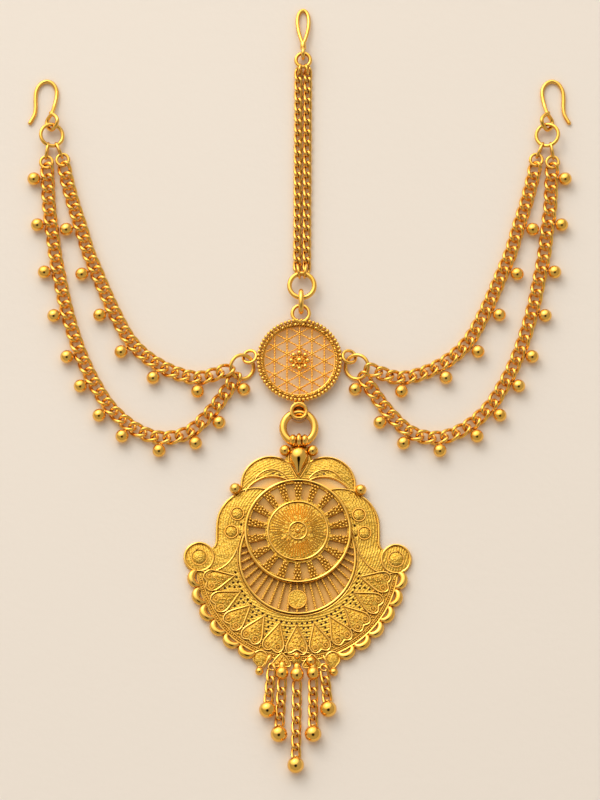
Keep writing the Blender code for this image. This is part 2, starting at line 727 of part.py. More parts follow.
def crescent_reach(angle, inset):
    """Distance from the sunburst's centre to the crescent ring's inner side at this angle."""
    offset = SUN_RISE - CRESCENT_RISE
    radius = CRESCENT_RADIUS - inset
    return offset * math.cos(angle) + math.sqrt(radius**2 - (offset * math.sin(angle)) ** 2)


def rib_gaps():
    """Slots between the ribs, from the sunburst disc out to the crescent ring."""
    centre = (0, SUN_RISE)
    start = SUN_RADIUS + GAP
    gaps = []
    for k in range(-RIBS_EACH_SIDE - 1, RIBS_EACH_SIDE + 1):
        first = k * RIB_PITCH
        last = first + RIB_PITCH
        ends = []
        for angle, side in ((first, 1), (last, -1)):
            reach = crescent_reach(angle, EDGE_WIRE)
            if reach < start + RIB_WIDTH:
                break
            for radius in (start, reach):
                ends.append(polar(centre, radius, angle + side * RIB_WIDTH / 2 / radius))
        if len(ends) == 4:
            gaps.append(prism([ends[0], ends[1], ends[3], ends[2]], -PLATE, 3 * PLATE))
    return gaps


def top_windows():
    """Crescent windows between the sunburst disc and the lobes."""
    gaps = []
    for sign in (-1, 1):
        low = arc((0, SUN_RISE), SUN_RADIUS + GAP, 76, 55, 4)
        high = arc(WINDOW_CENTRE, WINDOW_RADIUS, 35, 112, 8)
        gaps.append(prism([(sign * x, y) for x, y in low + high], -PLATE, 3 * PLATE))
    return gaps


def sun_disc():
    """The raised disc with its outer ring, field and boss."""
    low = 0.75 * SUN_HEIGHT
    profile = [
        (0.0, WELD), (SUN_RADIUS, WELD), (SUN_RADIUS, SUN_HEIGHT), (SUN_GAP_OUTER + WELD, low),
        (SUN_FIELD_RADIUS + WELD, low), (SUN_FIELD_RADIUS, SUN_HEIGHT),
        (SUN_BOSS_RADIUS, low), (0.0, SUN_HEIGHT + WELD),
    ]
    return turned(profile, 32, (0, SUN_RISE, 0))


def petal(angle):
    """A raised heart-ended petal of the fan."""
    half = PETAL_PITCH * 0.42
    middle = (PETAL_TIP + PETAL_END) / 2
    shoulder = PETAL_END - PETAL_SHOULDER
    corners = [
        (PETAL_TIP, 0.0), (middle, 0.8), (shoulder, 1.0), (PETAL_END, 0.55),
        (PETAL_END - PETAL_NOTCH, 0.0), (PETAL_END, -0.55), (shoulder, -1.0), (middle, -0.8),
    ]
    outline = [polar((0, 0), radius, angle + share * half) for radius, share in corners]
    return prism(outline, WELD, PLATE + RELIEF)


def scallop(angle):
    """A C-shaped puffed scallop that stands out from the fan's edge."""
    centre = polar((0, 0), SCALLOP_REACH, angle)
    height = 0.6 * SCALLOP_WIRE
    path = []
    for k in range(5):
        turn = math.radians(-104 + 52 * k) + angle
        x, y = polar(centre, SCALLOP_RADIUS, turn)
        path.append(Vector((x, y, height)))
    return wire_mesh(path, SCALLOP_WIRE / 2, steps=0)


def edge_wires():
    """Raised wires as three bodies: round the lobes, along the shoulders, and under the crescent."""
    inset = EDGE_WIRE / 2
    height = PLATE + EDGE_WIRE / 6
    lobes = []
    shoulders = []
    for sign in (-1, 1):
        lobe = arc(LOBE_CENTRE, LOBE_RADIUS - inset, 150, 0, 9)
        shoulder = [(x - inset, y - inset / 2) for x, y in fan_places(SHOULDER_SHARES[:-1])]
        for path, wires in ((lobe, lobes), (shoulder, shoulders)):
            points = raised_path([(sign * x, y) for x, y in path], height)
            wires.append(wire_mesh(points, EDGE_WIRE / 2, steps=0))
    offset = SUN_RISE - CRESCENT_RISE
    meeting = (CRESCENT_RADIUS**2 + offset**2 - SUN_RADIUS**2) / (2 * CRESCENT_RADIUS * offset)
    meet = math.degrees(math.acos(meeting))
    crescent = arc((0, CRESCENT_RISE), CRESCENT_RADIUS, 90 - meet, meet - 270, 22)
    rim = wire_mesh(raised_path(crescent, height), EDGE_WIRE / 2, steps=0)
    return [joined(lobes), joined(shoulders), rim]


def raised_disc(place, radius, steps=10):
    """A low disc that swells to its middle."""
    height = PLATE + RELIEF
    profile = [(0.0, WELD), (radius, WELD), (radius, height), (0.0, height + WELD)]
    return turned(profile, steps, (*place, 0.0))


def scroll_head(place):
    """The round end of a shoulder: a raised rim, a sunk ring and an eye."""
    height = PLATE + RELIEF
    radius = SCROLL_RADIUS - WELD
    profile = [
        (0.0, WELD), (radius, WELD), (radius, height), (0.75 * radius, height),
        (0.6 * radius, height - WELD), (0.0, height + WELD),
    ]
    return turned(profile, 14, (*place, 0.0))


def make_pendant():
    plate = prism(plate_outline(), 0.0, PLATE)
    scrolls = [scroll_head(place) for place in mirrored([SCROLL_CENTRE])]
    studs = [raised_disc(place, STUD_RADIUS) for place in mirrored(fan_places(STUD_SHARES))]
    petals = [petal(k * PETAL_PITCH) for k in range(-PETALS_EACH_SIDE, PETALS_EACH_SIDE + 1)]
    body = fused([plate, joined(scrolls + studs + petals), sun_disc()])
    body = fused([body] + edge_wires())
    body = combined(body, joined(sun_gaps() + rib_gaps() + top_windows()), "DIFFERENCE")
    angles = [SCALLOP_START + k * SCALLOP_PITCH for k in range(SCALLOPS_EACH_SIDE)]
    body = fused([body, joined([scallop(sign * angle) for angle in angles for sign in (-1, 1)])])
    rib_disc = raised_disc((0, SUN_RISE - RIB_DISC_DROP), RIB_DISC_RADIUS, 14)
    body = fused([body, rib_disc, crest(), bottom_row()])
    placed("pendant", moved(body, pendant_frame()), gold("pendant", (0.72, 0.47, 0.15), 0.4))


def pendant_frame():
    """Hangs the pendant with its bead round the lowest part of the pendant's ring."""
    y = pendant_ring_centre()[1] - PENDANT_RING_RADIUS + BEAD_LIFT - BEAD_RISE
    return Matrix.Translation((PENDANT_X, y, 0)) @ Matrix.Rotation(PENDANT_LEAN, 4, "Z")


def crest():
    """The bail bead bored for the ring, the balls beside it and the drop below it."""
    side_balls = fan_places(SIDE_BALL_SHARES)
    lobes = [ball((0, BEAD_RISE, PENDANT_RING_HEIGHT), BEAD_RADIUS)]
    for sign in (-1, 1):
        lobes.append(ball((sign * BEAD_SPREAD, BEAD_RISE, PENDANT_RING_HEIGHT), BEAD_SIDE_RADIUS))
    balls = [ball((x, y, SIDE_BALL_RADIUS), SIDE_BALL_RADIUS, rows=4) for x, y in mirrored(side_balls)]
    for x, y in mirrored(fan_places(LOBE_BALL_SHARES)):
        balls.append(ball((x, y, LOBE_BALL_RADIUS), LOBE_BALL_RADIUS, rows=4))
    seat_side = [
        (0.0, BEAD_RISE - 0.6 * BEAD_RADIUS), side_balls[0],
        (LOBE_CENTRE[0] / 2, LOBE_CENTRE[1] + 0.6 * LOBE_RADIUS),
    ]
    seat = prism(mirrored_outline(seat_side), WELD / 2, PLATE - WELD)
    drop_side = [
        (0.0, -DROP_RADIUS), (0.55 * DROP_RADIUS, -0.83 * DROP_RADIUS), (DROP_RADIUS, 0.0),
        (0.8 * DROP_RADIUS, 0.6 * DROP_RADIUS), (0.0, DROP_RISE - DROP_TIP),
    ]
    drop = turned(drop_side, 10)
    lay = Matrix.Translation((0, DROP_RISE, DROP_RADIUS)) @ Matrix.Rotation(math.pi / 2, 4, "X")
    body = fused([seat, joined(balls), moved(drop, lay)] + lobes)
    return combined(body, bead_way(), "DIFFERENCE")


def bead_way():
    """The pendant ring's way through the bead, seen from the pendant's own frame."""
    way = ring(pendant_ring_centre(), PENDANT_RING_RADIUS, PENDANT_RING_WIRE + 2 * GAP, steps=18)
    return moved(way, pendant_frame().inverted())


def mirrored_outline(right):
    """A closed outline from its right side, read from the top down."""
    return right + [(-x, y) for x, y in reversed(right) if x > 0]


def bottom_row():
    """Motifs, caps and spur balls that carry the tassels."""
    motifs = [raised_disc(place, MOTIF_RADIUS) for place in fan_places(MOTIF_SHARES)]
    caps = [ball((*place, radius), radius, rows=4) for place, radius in cap_places()]
    spurs = [ball((*place, SPUR_RADIUS), SPUR_RADIUS, rows=4) for place in fan_places(SPUR_SHARES)]
    return fused([joined(motifs[::2]), joined(motifs[1::2]), joined(caps + spurs)])


def cap_places():
    """Each tassel cap's place and radius."""
    radii = [FAN_RADIUS * share for share in CAP_RADIUS_SHARES]
    return list(zip(fan_places(CAP_SHARES), radii))


def make_tassels():
    rows = zip(cap_places(), TASSEL_LENGTHS, TASSEL_SPLAY_SHARES)
    for number, (((x, y), cap), length, splay) in enumerate(rows, start=1):
        start = pendant_frame() @ Vector((x, y - cap - GAP, TASSEL_RADIUS))
        heading = Vector((splay, -1.0, 0.0)).normalized()
        stop = start + heading * length
        points = [start.lerp(stop, k / 4) for k in range(5)]
        centre = stop + heading * (TASSEL_BALL - WELD)
        centre.z = TASSEL_BALL
        points[-1] = points[-1] + heading * WELD
        body = combined(wire_mesh(points, TASSEL_RADIUS, steps=2), ball(centre, TASSEL_BALL))
        name = "tassel_" + str(number)
        placed(name, body, gold(name))


def main():
    clear_scene()
    outer = chain_route(OUTER_ROUTE_SHARES)
    inner = chain_route(INNER_ROUTE_SHARES)
    make_medallion()
    make_parting()
    make_pendant_ring()
    make_pendant()
    make_tassels()
    for side, sign in (("left", -1), ("right", 1)):
        make_side_ring(side, sign)
        make_side_chain("outer_chain_" + side, sign, outer, OUTER_CHARM_SHARES)
        make_side_chain("inner_chain_" + side, sign, inner, INNER_CHARM_SHARES)
        make_connector("outer_connector_" + side, sign, outer)
        make_connector("inner_connector_" + side, sign, inner)
        make_hook_ring(side, sign)
        make_hook(side, sign)


main()
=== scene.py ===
"""The gold forehead chain as it lies on a pale floor, dressed around its CAD frame.

Every shape is worked out in millimetres, in the frame's own directions, and a finished piece is
scaled to metres. The medallion's middle is the origin, and heights are above the floor. A route or
a place of a side piece is the right one's, and a sign of -1 mirrors it to the left.
"""

import random
from math import acos, atan2, copysign, cos, degrees, hypot, pi, radians, sin, sqrt, tan, tau

import bmesh
import bpy
import numpy as np
from mathutils import Matrix, Vector


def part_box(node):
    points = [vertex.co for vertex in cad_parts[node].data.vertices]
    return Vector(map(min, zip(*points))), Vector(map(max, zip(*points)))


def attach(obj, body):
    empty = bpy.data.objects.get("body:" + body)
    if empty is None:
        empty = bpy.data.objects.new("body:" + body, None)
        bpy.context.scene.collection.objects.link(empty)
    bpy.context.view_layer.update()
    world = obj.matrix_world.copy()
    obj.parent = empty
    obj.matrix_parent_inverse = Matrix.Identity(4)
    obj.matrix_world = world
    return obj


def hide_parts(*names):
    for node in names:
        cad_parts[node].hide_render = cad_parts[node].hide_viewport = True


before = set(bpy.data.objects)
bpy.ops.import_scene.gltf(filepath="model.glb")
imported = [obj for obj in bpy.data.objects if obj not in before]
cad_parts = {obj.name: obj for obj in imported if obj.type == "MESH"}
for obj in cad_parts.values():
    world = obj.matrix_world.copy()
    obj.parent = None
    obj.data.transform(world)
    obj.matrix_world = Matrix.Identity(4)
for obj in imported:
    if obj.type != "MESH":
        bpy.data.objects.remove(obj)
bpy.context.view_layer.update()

MM = 0.001
UP = Vector((0, 0, 1))
FACING_X = Matrix.Rotation(pi / 2, 4, "Y")
FACING_Y = Matrix.Rotation(pi / 2, 4, "X")
SIDES = (("left", -1), ("right", 1))

# Sizes in millimetres, as in the frame
WINDOW_RADIUS = 8.9
LATTICE_SIDE = 3.6
LATTICE_ROW = LATTICE_SIDE * sqrt(3) / 2
LATTICE_HEIGHT = 1.45
RIM_BEADS = 63
SIDE_EYE = (12.45, 1.05)
SIDE_RING = (14.35, -1.6)
SIDE_HEIGHT = 1.7
HANG_X = -0.15
BAIL_Y = -13.55
PENDANT_RING = (HANG_X, -17.4, 1.9)
PENDANT_RING_RADIUS = 3.85
PENDANT_RING_WIRE = 1.8
PENDANT_RING_CLEARANCE = 0.15
PARTING_START = 23.77
STRAND_LENGTH = 53.2
PARTING_X = 0.6
PARTING_LEAN = radians(-0.35)
HOOK_RING = (62.83, 59.3, 2.0)
HOOK_RING_RADIUS = 2.8
PENDANT_HANG = Matrix.Translation((-0.47, -51.5, 0)) @ Matrix.Rotation(radians(-0.6), 4, "Z")
FAN_RADIUS = 25.1
SUN_RISE = 7.8
SUN_RADIUS = 13.1
CRESCENT_RISE = 1.28
CRESCENT_RADIUS = 14.75
PLATE = 0.9
OUTER_ROUTE = [
    (64.09, 52.5), (63.71, 47.1), (63.3, 40.3), (62.4, 33.9), (61.5, 27.3), (60.2, 21.0),
    (58.8, 14.5), (56.65, 7.0), (54.4, 0.8), (51.4, -5.5), (47.06, -12.24), (40.94, -17.5),
    (34.3, -19.8), (27.6, -18.3), (22.2, -13.2), (18.4, -8.0), (16.4, -4.95),
]
INNER_ROUTE = [
    (60.0, 52.8), (59.0, 48.1), (57.2, 41.3), (55.15, 34.9), (53.3, 28.7), (51.3, 23.8),
    (48.9, 18.0), (46.15, 12.0), (42.7, 5.76), (38.3, 1.1), (31.85, -2.7), (25.14, -4.3), (18.3, -2.6),
]

# Where the ball charms hang, as shares of the route
OUTER_CHARMS = [0.042, 0.153, 0.268, 0.375, 0.476, 0.55, 0.627, 0.692, 0.769, 0.837, 0.90, 0.993]
INNER_CHARMS = [0.229, 0.384, 0.531, 0.661, 0.779, 0.906]


# Materials

class Value:
    """A socket that takes part in sums: an expression on it adds Math nodes."""

    def __init__(self, nodes, socket):
        self.nodes = nodes
        self.socket = socket

    def calculated(self, operation, *values):
        return self.nodes.value("Value", "Math", {"operation": operation}, dict(enumerate(values)))

    def __add__(self, other):
        return self.calculated("ADD", self, other)

    def __sub__(self, other):
        return self.calculated("SUBTRACT", self, other)

    def __rsub__(self, other):
        return self.calculated("SUBTRACT", other, self)

    def __mul__(self, other):
        return self.calculated("MULTIPLY", self, other)

    __radd__ = __add__
    __rmul__ = __mul__


class Nodes:
    """The nodes of a finish or of the room."""

    def __init__(self, tree):
        self.tree = tree

    def node(self, kind, settings=None, values=None):
        """A new node of this type, with its settings and the values or links of its sockets."""
        node = self.tree.nodes.new("ShaderNode" + kind)
        for key, setting in (settings or {}).items():
            setattr(node, key, setting)
        for key, value in (values or {}).items():
            self.feed(node.inputs[key], value)
        return node

    def value(self, output, kind, settings=None, values=None):
        """A new node's output, ready for sums."""
        return Value(self, self.node(kind, settings, values).outputs[output])

    def feed(self, socket, value):
        if isinstance(value, Value):
            value = value.socket
        if isinstance(value, bpy.types.NodeSocket):
            self.tree.links.new(value, socket)
        else:
            socket.default_value = value

    def faded(self, value, empty, full, strength=1.0):
        """The strength at the full value, falling smoothly to zero at the empty one."""
        values = {"Value": value, "From Min": empty, "From Max": full, "To Max": strength}
        return self.value("Result", "MapRange", {"interpolation_type": "SMOOTHSTEP"}, values)

    def mixed(self, share, first, second):
        """A colour between two colours, each three numbers or a socket."""
        values = {0: share}
        for key, colour in ((6, first), (7, second)):
            values[key] = (*colour, 1.0) if isinstance(colour, tuple) else colour
        return self.node("Mix", {"data_type": "RGBA", "clamp_factor": True}, values).outputs[2]


class Finish(Nodes):
    """A surface's finish, whose pattern lies in the object's own metres."""

    def __init__(self, name):
        self.material = bpy.data.materials.new(name)
        self.material.use_nodes = True
        super().__init__(self.material.node_tree)
        self.surface = self.tree.nodes["Principled BSDF"]
        self.place = self.node("TexCoord").outputs["Object"]

    def noise(self, size, detail=2.0):
        """Soft random values, with a spot about this many millimetres across."""
        values = {"Vector": self.place, "Scale": 1 / (size * MM), "Detail": detail}
        return self.value("Fac", "TexNoise", values=values)

    def grains(self, size):
        """Round grains this many millimetres across."""
        values = {"Vector": self.place, "Scale": 1 / (size * MM)}
        return self.value("Distance", "TexVoronoi", values=values)

    def from_here(self, operation, x, y):
        """A vector sum between the surface's points and a place on the floor."""
        values = {0: self.place, 1: (x * MM, y * MM, 0)}
        return self.node("VectorMath", {"operation": operation}, values)

    def ripples(self, size, centre, bend):
        """Fine ripples around a centre, this many millimetres apart."""
        apart_at_scale_one = 0.314
        place = self.from_here("SUBTRACT", *centre).outputs["Vector"]
        scale = apart_at_scale_one / (size * MM)
        values = {"Vector": place, "Scale": scale, "Distortion": bend, "Detail": 1.0}
        return self.value("Fac", "TexWave", {"wave_type": "RINGS", "rings_direction": "Z"}, values)

    def openness(self, reach):
        """One on an open face, falling to zero in a crevice, as far as this many millimetres."""
        return self.value("AO", "AmbientOcclusion", {"samples": 6}, {"Distance": reach * MM})

    def near(self, x, y, inner, outer):
        """One within the inner radius about a place, falling to zero at the outer one."""
        distance = self.from_here("DISTANCE", x, y).outputs["Value"]
        return self.faded(distance, outer * MM, inner * MM)

    def shaded(self, colour, reach):
        """The colour with painted shade in its crevices: where they are closed in, it turns towards a
        dark shade gold.
        """
        return self.mixed(self.openness(reach) * 1.5 - 0.35, CREVICE_SHADE_GOLD, colour)

    def bumped(self, height, depth):
        """Feeds the surface a relief this many millimetres deep."""
        values = {"Height": height, "Strength": 1.0, "Distance": depth * MM}
        self.feed(self.surface.inputs["Normal"], self.node("Bump", values=values).outputs["Normal"])

    def set(self, **values):
        """Sets or links the surface's sockets by name."""
        for key, value in values.items():
            self.feed(self.surface.inputs[key.replace("_", " ").title()], value)


LIGHT_GOLD = (0.97, 0.575, 0.115)
GOLD = (0.90, 0.46, 0.038)
# Dark gold that crevices are painted towards, as painted shade.
CREVICE_SHADE_GOLD = (0.36, 0.125, 0.004)
SATIN_GOLD = (0.86, 0.57, 0.115)
# Darker gold painted into the pits of the satin ground, as painted shade.
SATIN_PIT_SHADE = (0.56, 0.30, 0.03)


def polished_gold(name, roughness, wear, crevice=0):
    """Bright gold under a clear lacquer, with faint hairlines and a little change of tone; given a
    crevice reach, its crevices get painted shade.
    """
    finish = Finish(name)
    finish.set(coat_weight=0.6, coat_roughness=roughness)
    colour = finish.mixed(finish.noise(2.5) * 1.6 - 0.3, LIGHT_GOLD, GOLD)
    # Painted shade: with a crevice reach, crevices are darkened towards dark gold.
    if crevice:
        colour = finish.shaded(colour, crevice)
    finish.set(base_color=colour, metallic=1.0)
    finish.set(roughness=finish.noise(0.8, 4.0) * wear + (roughness - wear / 2))
    finish.bumped(finish.noise(0.35, 3.0), 0.006)
    return finish.material


def filigree_gold(name):
    """Bright gold with painted shade in its crevices, for granules and fine wires."""
    finish = Finish(name)
    colour = finish.mixed(finish.noise(1.5) * 1.6 - 0.3, LIGHT_GOLD, GOLD)
    # Painted shade in the crevices, within 0.55 mm.
    finish.set(base_color=finish.shaded(colour, 0.55), metallic=1.0)
    finish.set(roughness=finish.noise(0.5, 3.0) * 0.12 + 0.20, coat_weight=0.4, coat_roughness=0.2)
    finish.bumped(finish.noise(0.3, 3.0), 0.012)
    return finish.material


def satin_gold(name, relief, depth):
    """Satin gold with a punched or rippled ground, its hollows painted darker as shade and its crevices
    given painted shade.
    """
    finish = Finish(name)
    height = relief(finish)
    # Painted shade: the pits of the relief are painted darker.
    colour = finish.mixed(1 - height, SATIN_GOLD, SATIN_PIT_SHADE)
    # Painted shade in the crevices too, within 0.8 mm.
    finish.set(base_color=finish.shaded(colour, 0.8), metallic=1.0)
    finish.set(roughness=finish.noise(0.6, 3.0) * 0.16 + 0.34)
    finish.bumped(height, depth)
    return finish.material


def stipple(finish):
    return 1 - finish.grains(0.45) * 1.3


def ripple(finish):
    """Ripples around the sunburst, broken up by grains."""
    ripples = finish.ripples(0.64, (-0.4, -43.7), 2.0)
    return ripples * 0.45 + (1 - finish.grains(0.45) * 1.4) * 0.55


# All but the ball gold carry painted shade in their crevices, and the satin golds in their pits too.
POLISHED = polished_gold("polished_gold_wire", 0.17, 0.10, crevice=0.6)
BALL_GOLD = polished_gold("polished_gold_ball", 0.10, 0.06)
FILIGREE = filigree_gold("filigree_gold")
STIPPLED = satin_gold("stippled_gold", stipple, 0.075)
RIPPLED = satin_gold("rippled_gold", ripple, 0.11)


# Shapes

def placed(name, data):
    """A new object in the scene, at the origin."""
    item = bpy.data.objects.new(name, data)
    bpy.context.scene.collection.objects.link(item)
    return item


def applied(item):
    """The mesh that an object comes to."""
    return bpy.data.meshes.new_from_object(item.evaluated_get(bpy.context.evaluated_depsgraph_get()))


def smoothed(mesh):
    """The mesh with its faces smooth and its edges of more than 42 degrees sharp."""
    mesh.shade_smooth()
    mesh.set_sharp_from_angle(angle=radians(42))
    return mesh


def mesh_from(bm):
    mesh = bpy.data.meshes.new("shape")
    bm.to_mesh(mesh)
    bm.free()
    return mesh


def moved(mesh, matrix):
    mesh.transform(matrix)
    return mesh


def at(x, y, z=0):
    return Matrix.Translation((x, y, z))


def directed(x_axis, y_axis, z_axis):
    """The turn that brings X, Y and Z to these directions."""
    return Matrix((x_axis, y_axis, z_axis)).transposed().to_4x4()


def stamped(template, matrices):
    """A copy of the template at each place, as one mesh."""
    bm = bmesh.new()
    for matrix in matrices:
        copy = moved(template.copy(), matrix)
        bm.from_mesh(copy)
        bpy.data.meshes.remove(copy)
    return mesh_from(bm)


def closed_mesh(bm):
    """The smooth mesh of a shape, its doubles merged and its faces turned outwards."""
    bmesh.ops.remove_doubles(bm, verts=bm.verts, dist=1e-4)
    bmesh.ops.recalc_face_normals(bm, faces=bm.faces)
    return smoothed(mesh_from(bm))


def curve_mesh(data):
    """A curve as a mesh with its caps closed."""
    item = placed("curve", data)
    mesh = applied(item)
    bpy.data.objects.remove(item, do_unlink=True)
    bpy.data.curves.remove(data)
    bm = bmesh.new()
    bm.from_mesh(mesh)
    return closed_mesh(bm)


def traced(data, points, closed):
    """A line through the points, added to a curve."""
    spline = data.splines.new("POLY")
    spline.points.add(len(points) - 1)
    for spot, point in zip(spline.points, points):
        spot.co = (*point, 1)
    spline.use_cyclic_u = closed
    return spline


def wire(points, radius, closed=False, sides=8, swell=()):
    """A round wire through the points, its thickness changed along it by the shares in swell."""
    data = bpy.data.curves.new("wire", "CURVE")
    data.dimensions = "3D"
    data.twist_mode = "MINIMUM"
    data.bevel_depth = radius
    data.bevel_resolution = (sides - 4) // 2
    data.use_fill_caps = not closed
    spline = traced(data, points, closed)
    spline.use_smooth = True
    for spot, share in zip(spline.points, swell):
        spot.radius = share
    return curve_mesh(data)


def sheet_metal(outlines, bottom, top, edge=0.08):
    """A flat plate from an outer outline and the outlines of its openings, with eased edges."""
    data = bpy.data.curves.new("plate", "CURVE")
    data.dimensions = "2D"
    data.fill_mode = "BOTH"
    data.extrude = (top - bottom) / 2 - edge
    data.bevel_depth = edge
    data.bevel_resolution = 1
    data.offset = -edge
    for outline in outlines:
        traced(data, raised(outline, 0), True)
    return moved(curve_mesh(data), at(0, 0, (bottom + top) / 2))


def turned(profile, steps):
    """A profile of (radius, height) corners turned about the vertical."""
    bm = bmesh.new()
    corners = [bm.verts.new((radius, 0, height)) for radius, height in profile]
    edges = [bm.edges.new(pair) for pair in zip(corners, corners[1:])]
    if min(radius for radius, height in profile) > 0:
        edges.append(bm.edges.new((corners[-1], corners[0])))
    bmesh.ops.spin(
        bm, geom=corners + edges, axis=(0, 0, 1), cent=(0, 0, 0), angle=tau, steps=steps,
        use_merge=True,
    )
    return closed_mesh(bm)


def ring(radius, thickness, steps=48, sides=12, stretch=0):
    """A round wire ring about the vertical, lengthened along Y by this much on each side."""
    half = thickness / 2
    angles = [tau * k / sides for k in range(sides)]
    mesh = turned([(radius + half * cos(a), half * sin(a)) for a in angles], steps)
    for vertex in mesh.vertices:
        flat = Vector((vertex.co.x, vertex.co.y, 0))
        vertex.co.y += flat.normalized().y * stretch
    return mesh


def ring_at(place, *sizes):
    """A ring, of the sizes that ring takes, lying at this place."""
    return moved(ring(*sizes), at(*place))


def ball(radius, sides=24, rows=16):
    bm = bmesh.new()
    bmesh.ops.create_uvsphere(bm, u_segments=sides, v_segments=rows, radius=radius)
    return smoothed(mesh_from(bm))


def ball_at(radius, *place):
    return moved(ball(radius), at(*place))


def swollen(sides, rows, *radii):
    """An egg with these radii along X, Y and Z."""
    return moved(ball(1.0, sides, rows), Matrix.Diagonal((*radii, 1)))


def cut(mesh, tool):
    """The mesh with the tool's shape taken out of it."""
    body = placed("body", mesh)
    cutter = placed("cutter", tool)
    modifier = body.modifiers.new("cut", "BOOLEAN")
    modifier.operation = "DIFFERENCE"
    modifier.solver = "EXACT"
    modifier.object = cutter
    result = applied(body)
    for item in (body, cutter):
        bpy.data.objects.remove(item, do_unlink=True)
    return smoothed(result)


GRANULE = ball(1.0, 8, 5)


def granules(places, radius):
    """Small balls at these places, each a little turned so that no two shine alike."""
    shuffle = random.Random(len(places))
    matrices = []
    for x, y, z in places:
        size = radius * shuffle.uniform(0.92, 1.06)
        turn = Matrix.Rotation(shuffle.uniform(0, 3), 4, "Z")
        matrices.append(at(x, y, z) @ turn @ Matrix.Scale(size, 4))
    return stamped(GRANULE, matrices)


def arc(centre, radius, start, end, count):
    """Points (x, y) along an arc, its angles in degrees."""
    angles = [radians(start + (end - start) * k / count) for k in range(count + 1)]
    return [(centre[0] + radius * cos(a), centre[1] + radius * sin(a)) for a in angles]


def circle(centre, radius, count=64):
    return arc(centre, radius, 0, 360, count)[:-1]


def polar(radius, angle, centre=(0, 0)):
    """A point (x, y) at this angle from straight down, positive to the right."""
    return (centre[0] + radius * sin(angle), centre[1] - radius * cos(angle))


def polar_row(count, radius, centre=(0, 0)):
    """Points (x, y) evenly spaced on a circle, from straight down."""
    return [polar(radius, tau * k / count, centre) for k in range(count)]


def raised(path, height):
    return [(x, y, height) for x, y in path]


def curved(route, steps=10):
    """Points of a smooth curve through the route."""
    last = len(route) - 1
    points = []
    for index in range(last):
        spots = (max(index - 1, 0), index, index + 1, min(index + 2, last))
        a, b, c, d = (Vector(route[spot]) for spot in spots)
        slope = (c - a) / 2
        bend = a - 2.5 * b + 2 * c - d / 2
        twist = (3 * b - a - 3 * c + d) / 2
        for t in (k / steps for k in range(steps)):
            points.append(b + slope * t + bend * t**2 + twist * t**3)
    points.append(Vector(route[-1]))
    return points


class Path:
    """A path that gives its point and direction at any distance along it."""

    def __init__(self, points):
        self.points = [Vector(point) for point in points]
        self.lengths = [0]
        for a, b in zip(self.points, self.points[1:]):
            self.lengths.append(self.lengths[-1] + (b - a).length)
        self.length = self.lengths[-1]

    def point(self, distance):
        distance = min(max(distance, 0), self.length)
        for index in range(1, len(self.points)):
            start, stop = self.lengths[index - 1:index + 1]
            if stop >= distance - 1e-9:
                share = (distance - start) / (stop - start)
                return self.points[index - 1].lerp(self.points[index], share)
        return self.points[-1]

    def heading(self, distance):
        reach = 1.5
        return (self.point(distance + reach) - self.point(distance - reach)).normalized()


def piece(name, parts, node):
    """A finished piece from (meshes, material) pairs, in place of this CAD node."""
    bm = bmesh.new()
    materials = []
    for meshes, material in parts:
        if material not in materials:
            materials.append(material)
        for mesh in meshes:
            for polygon in mesh.polygons:
                polygon.material_index = materials.index(material)
            bm.from_mesh(mesh)
    bmesh.ops.scale(bm, vec=(MM, MM, MM), verts=bm.verts)
    mesh = mesh_from(bm)
    mesh.name = name
    for material in materials:
        mesh.materials.append(material)
    item = placed(name, mesh)
    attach(item, "root")
    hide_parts(node)


# Rings, links and hooks

def ring_like(node, thickness):
    """A smooth ring with the place, turn and size of a CAD ring, a little stouter if it is round."""
    points = np.array([vertex.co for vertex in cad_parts[node].data.vertices]) / MM
    points = np.unique(np.round(points, 3), axis=0)
    centre = points.mean(axis=0)
    around = points - centre
    long_way, short_way = np.linalg.svd(around, full_matrices=False)[2][:2]
    inside = thickness / 2
    reach = np.linalg.norm(around, axis=1).max() - inside
    width = np.abs(around @ short_way).max() - inside
    length = np.abs(around @ long_way).max() - inside
    is_round = length < 1.08 * width
    if is_round:
        mesh = ring(1.03 * reach, 1.08 * thickness)
    else:
        mesh = ring(width, thickness, stretch=length - width)
    turn = directed(short_way, long_way, np.cross(short_way, long_way))
    return moved(mesh, at(*centre) @ turn)


def make_rings():
    """All jump rings, and the upright links between the side chains and the hook rings."""
    wires = {"centre_link": 1.35, "parting_ring": 1.15, "top_ring": 0.9}
    wires["pendant_ring"] = PENDANT_RING_WIRE
    for side, sign in SIDES:
        wires["side_ring_" + side] = 0.88
        wires["hook_ring_" + side] = 0.92
    lowered = {"centre_link": -0.45, "parting_ring": -0.45}
    for node, thickness in wires.items():
        mesh = moved(ring_like(node, thickness), at(0, lowered.get(node, 0)))
        piece(node + "_smooth", [([mesh], POLISHED)], node)
    connectors = {
        "outer": [(63.65, 57.2, 1.75), (64.3, 53.3, 1.25)],
        "inner": [(61.75, 57.2, 1.75), (60.1, 53.6, 1.25)],
    }
    for side, sign in SIDES:
        for row, ends in connectors.items():
            link = upright_link(*[(sign * x, y, z) for x, y, z in ends], 1.0, 0.76)
            piece(row + "_connector_link_" + side, [([link], POLISHED)], row + "_connector_" + side)


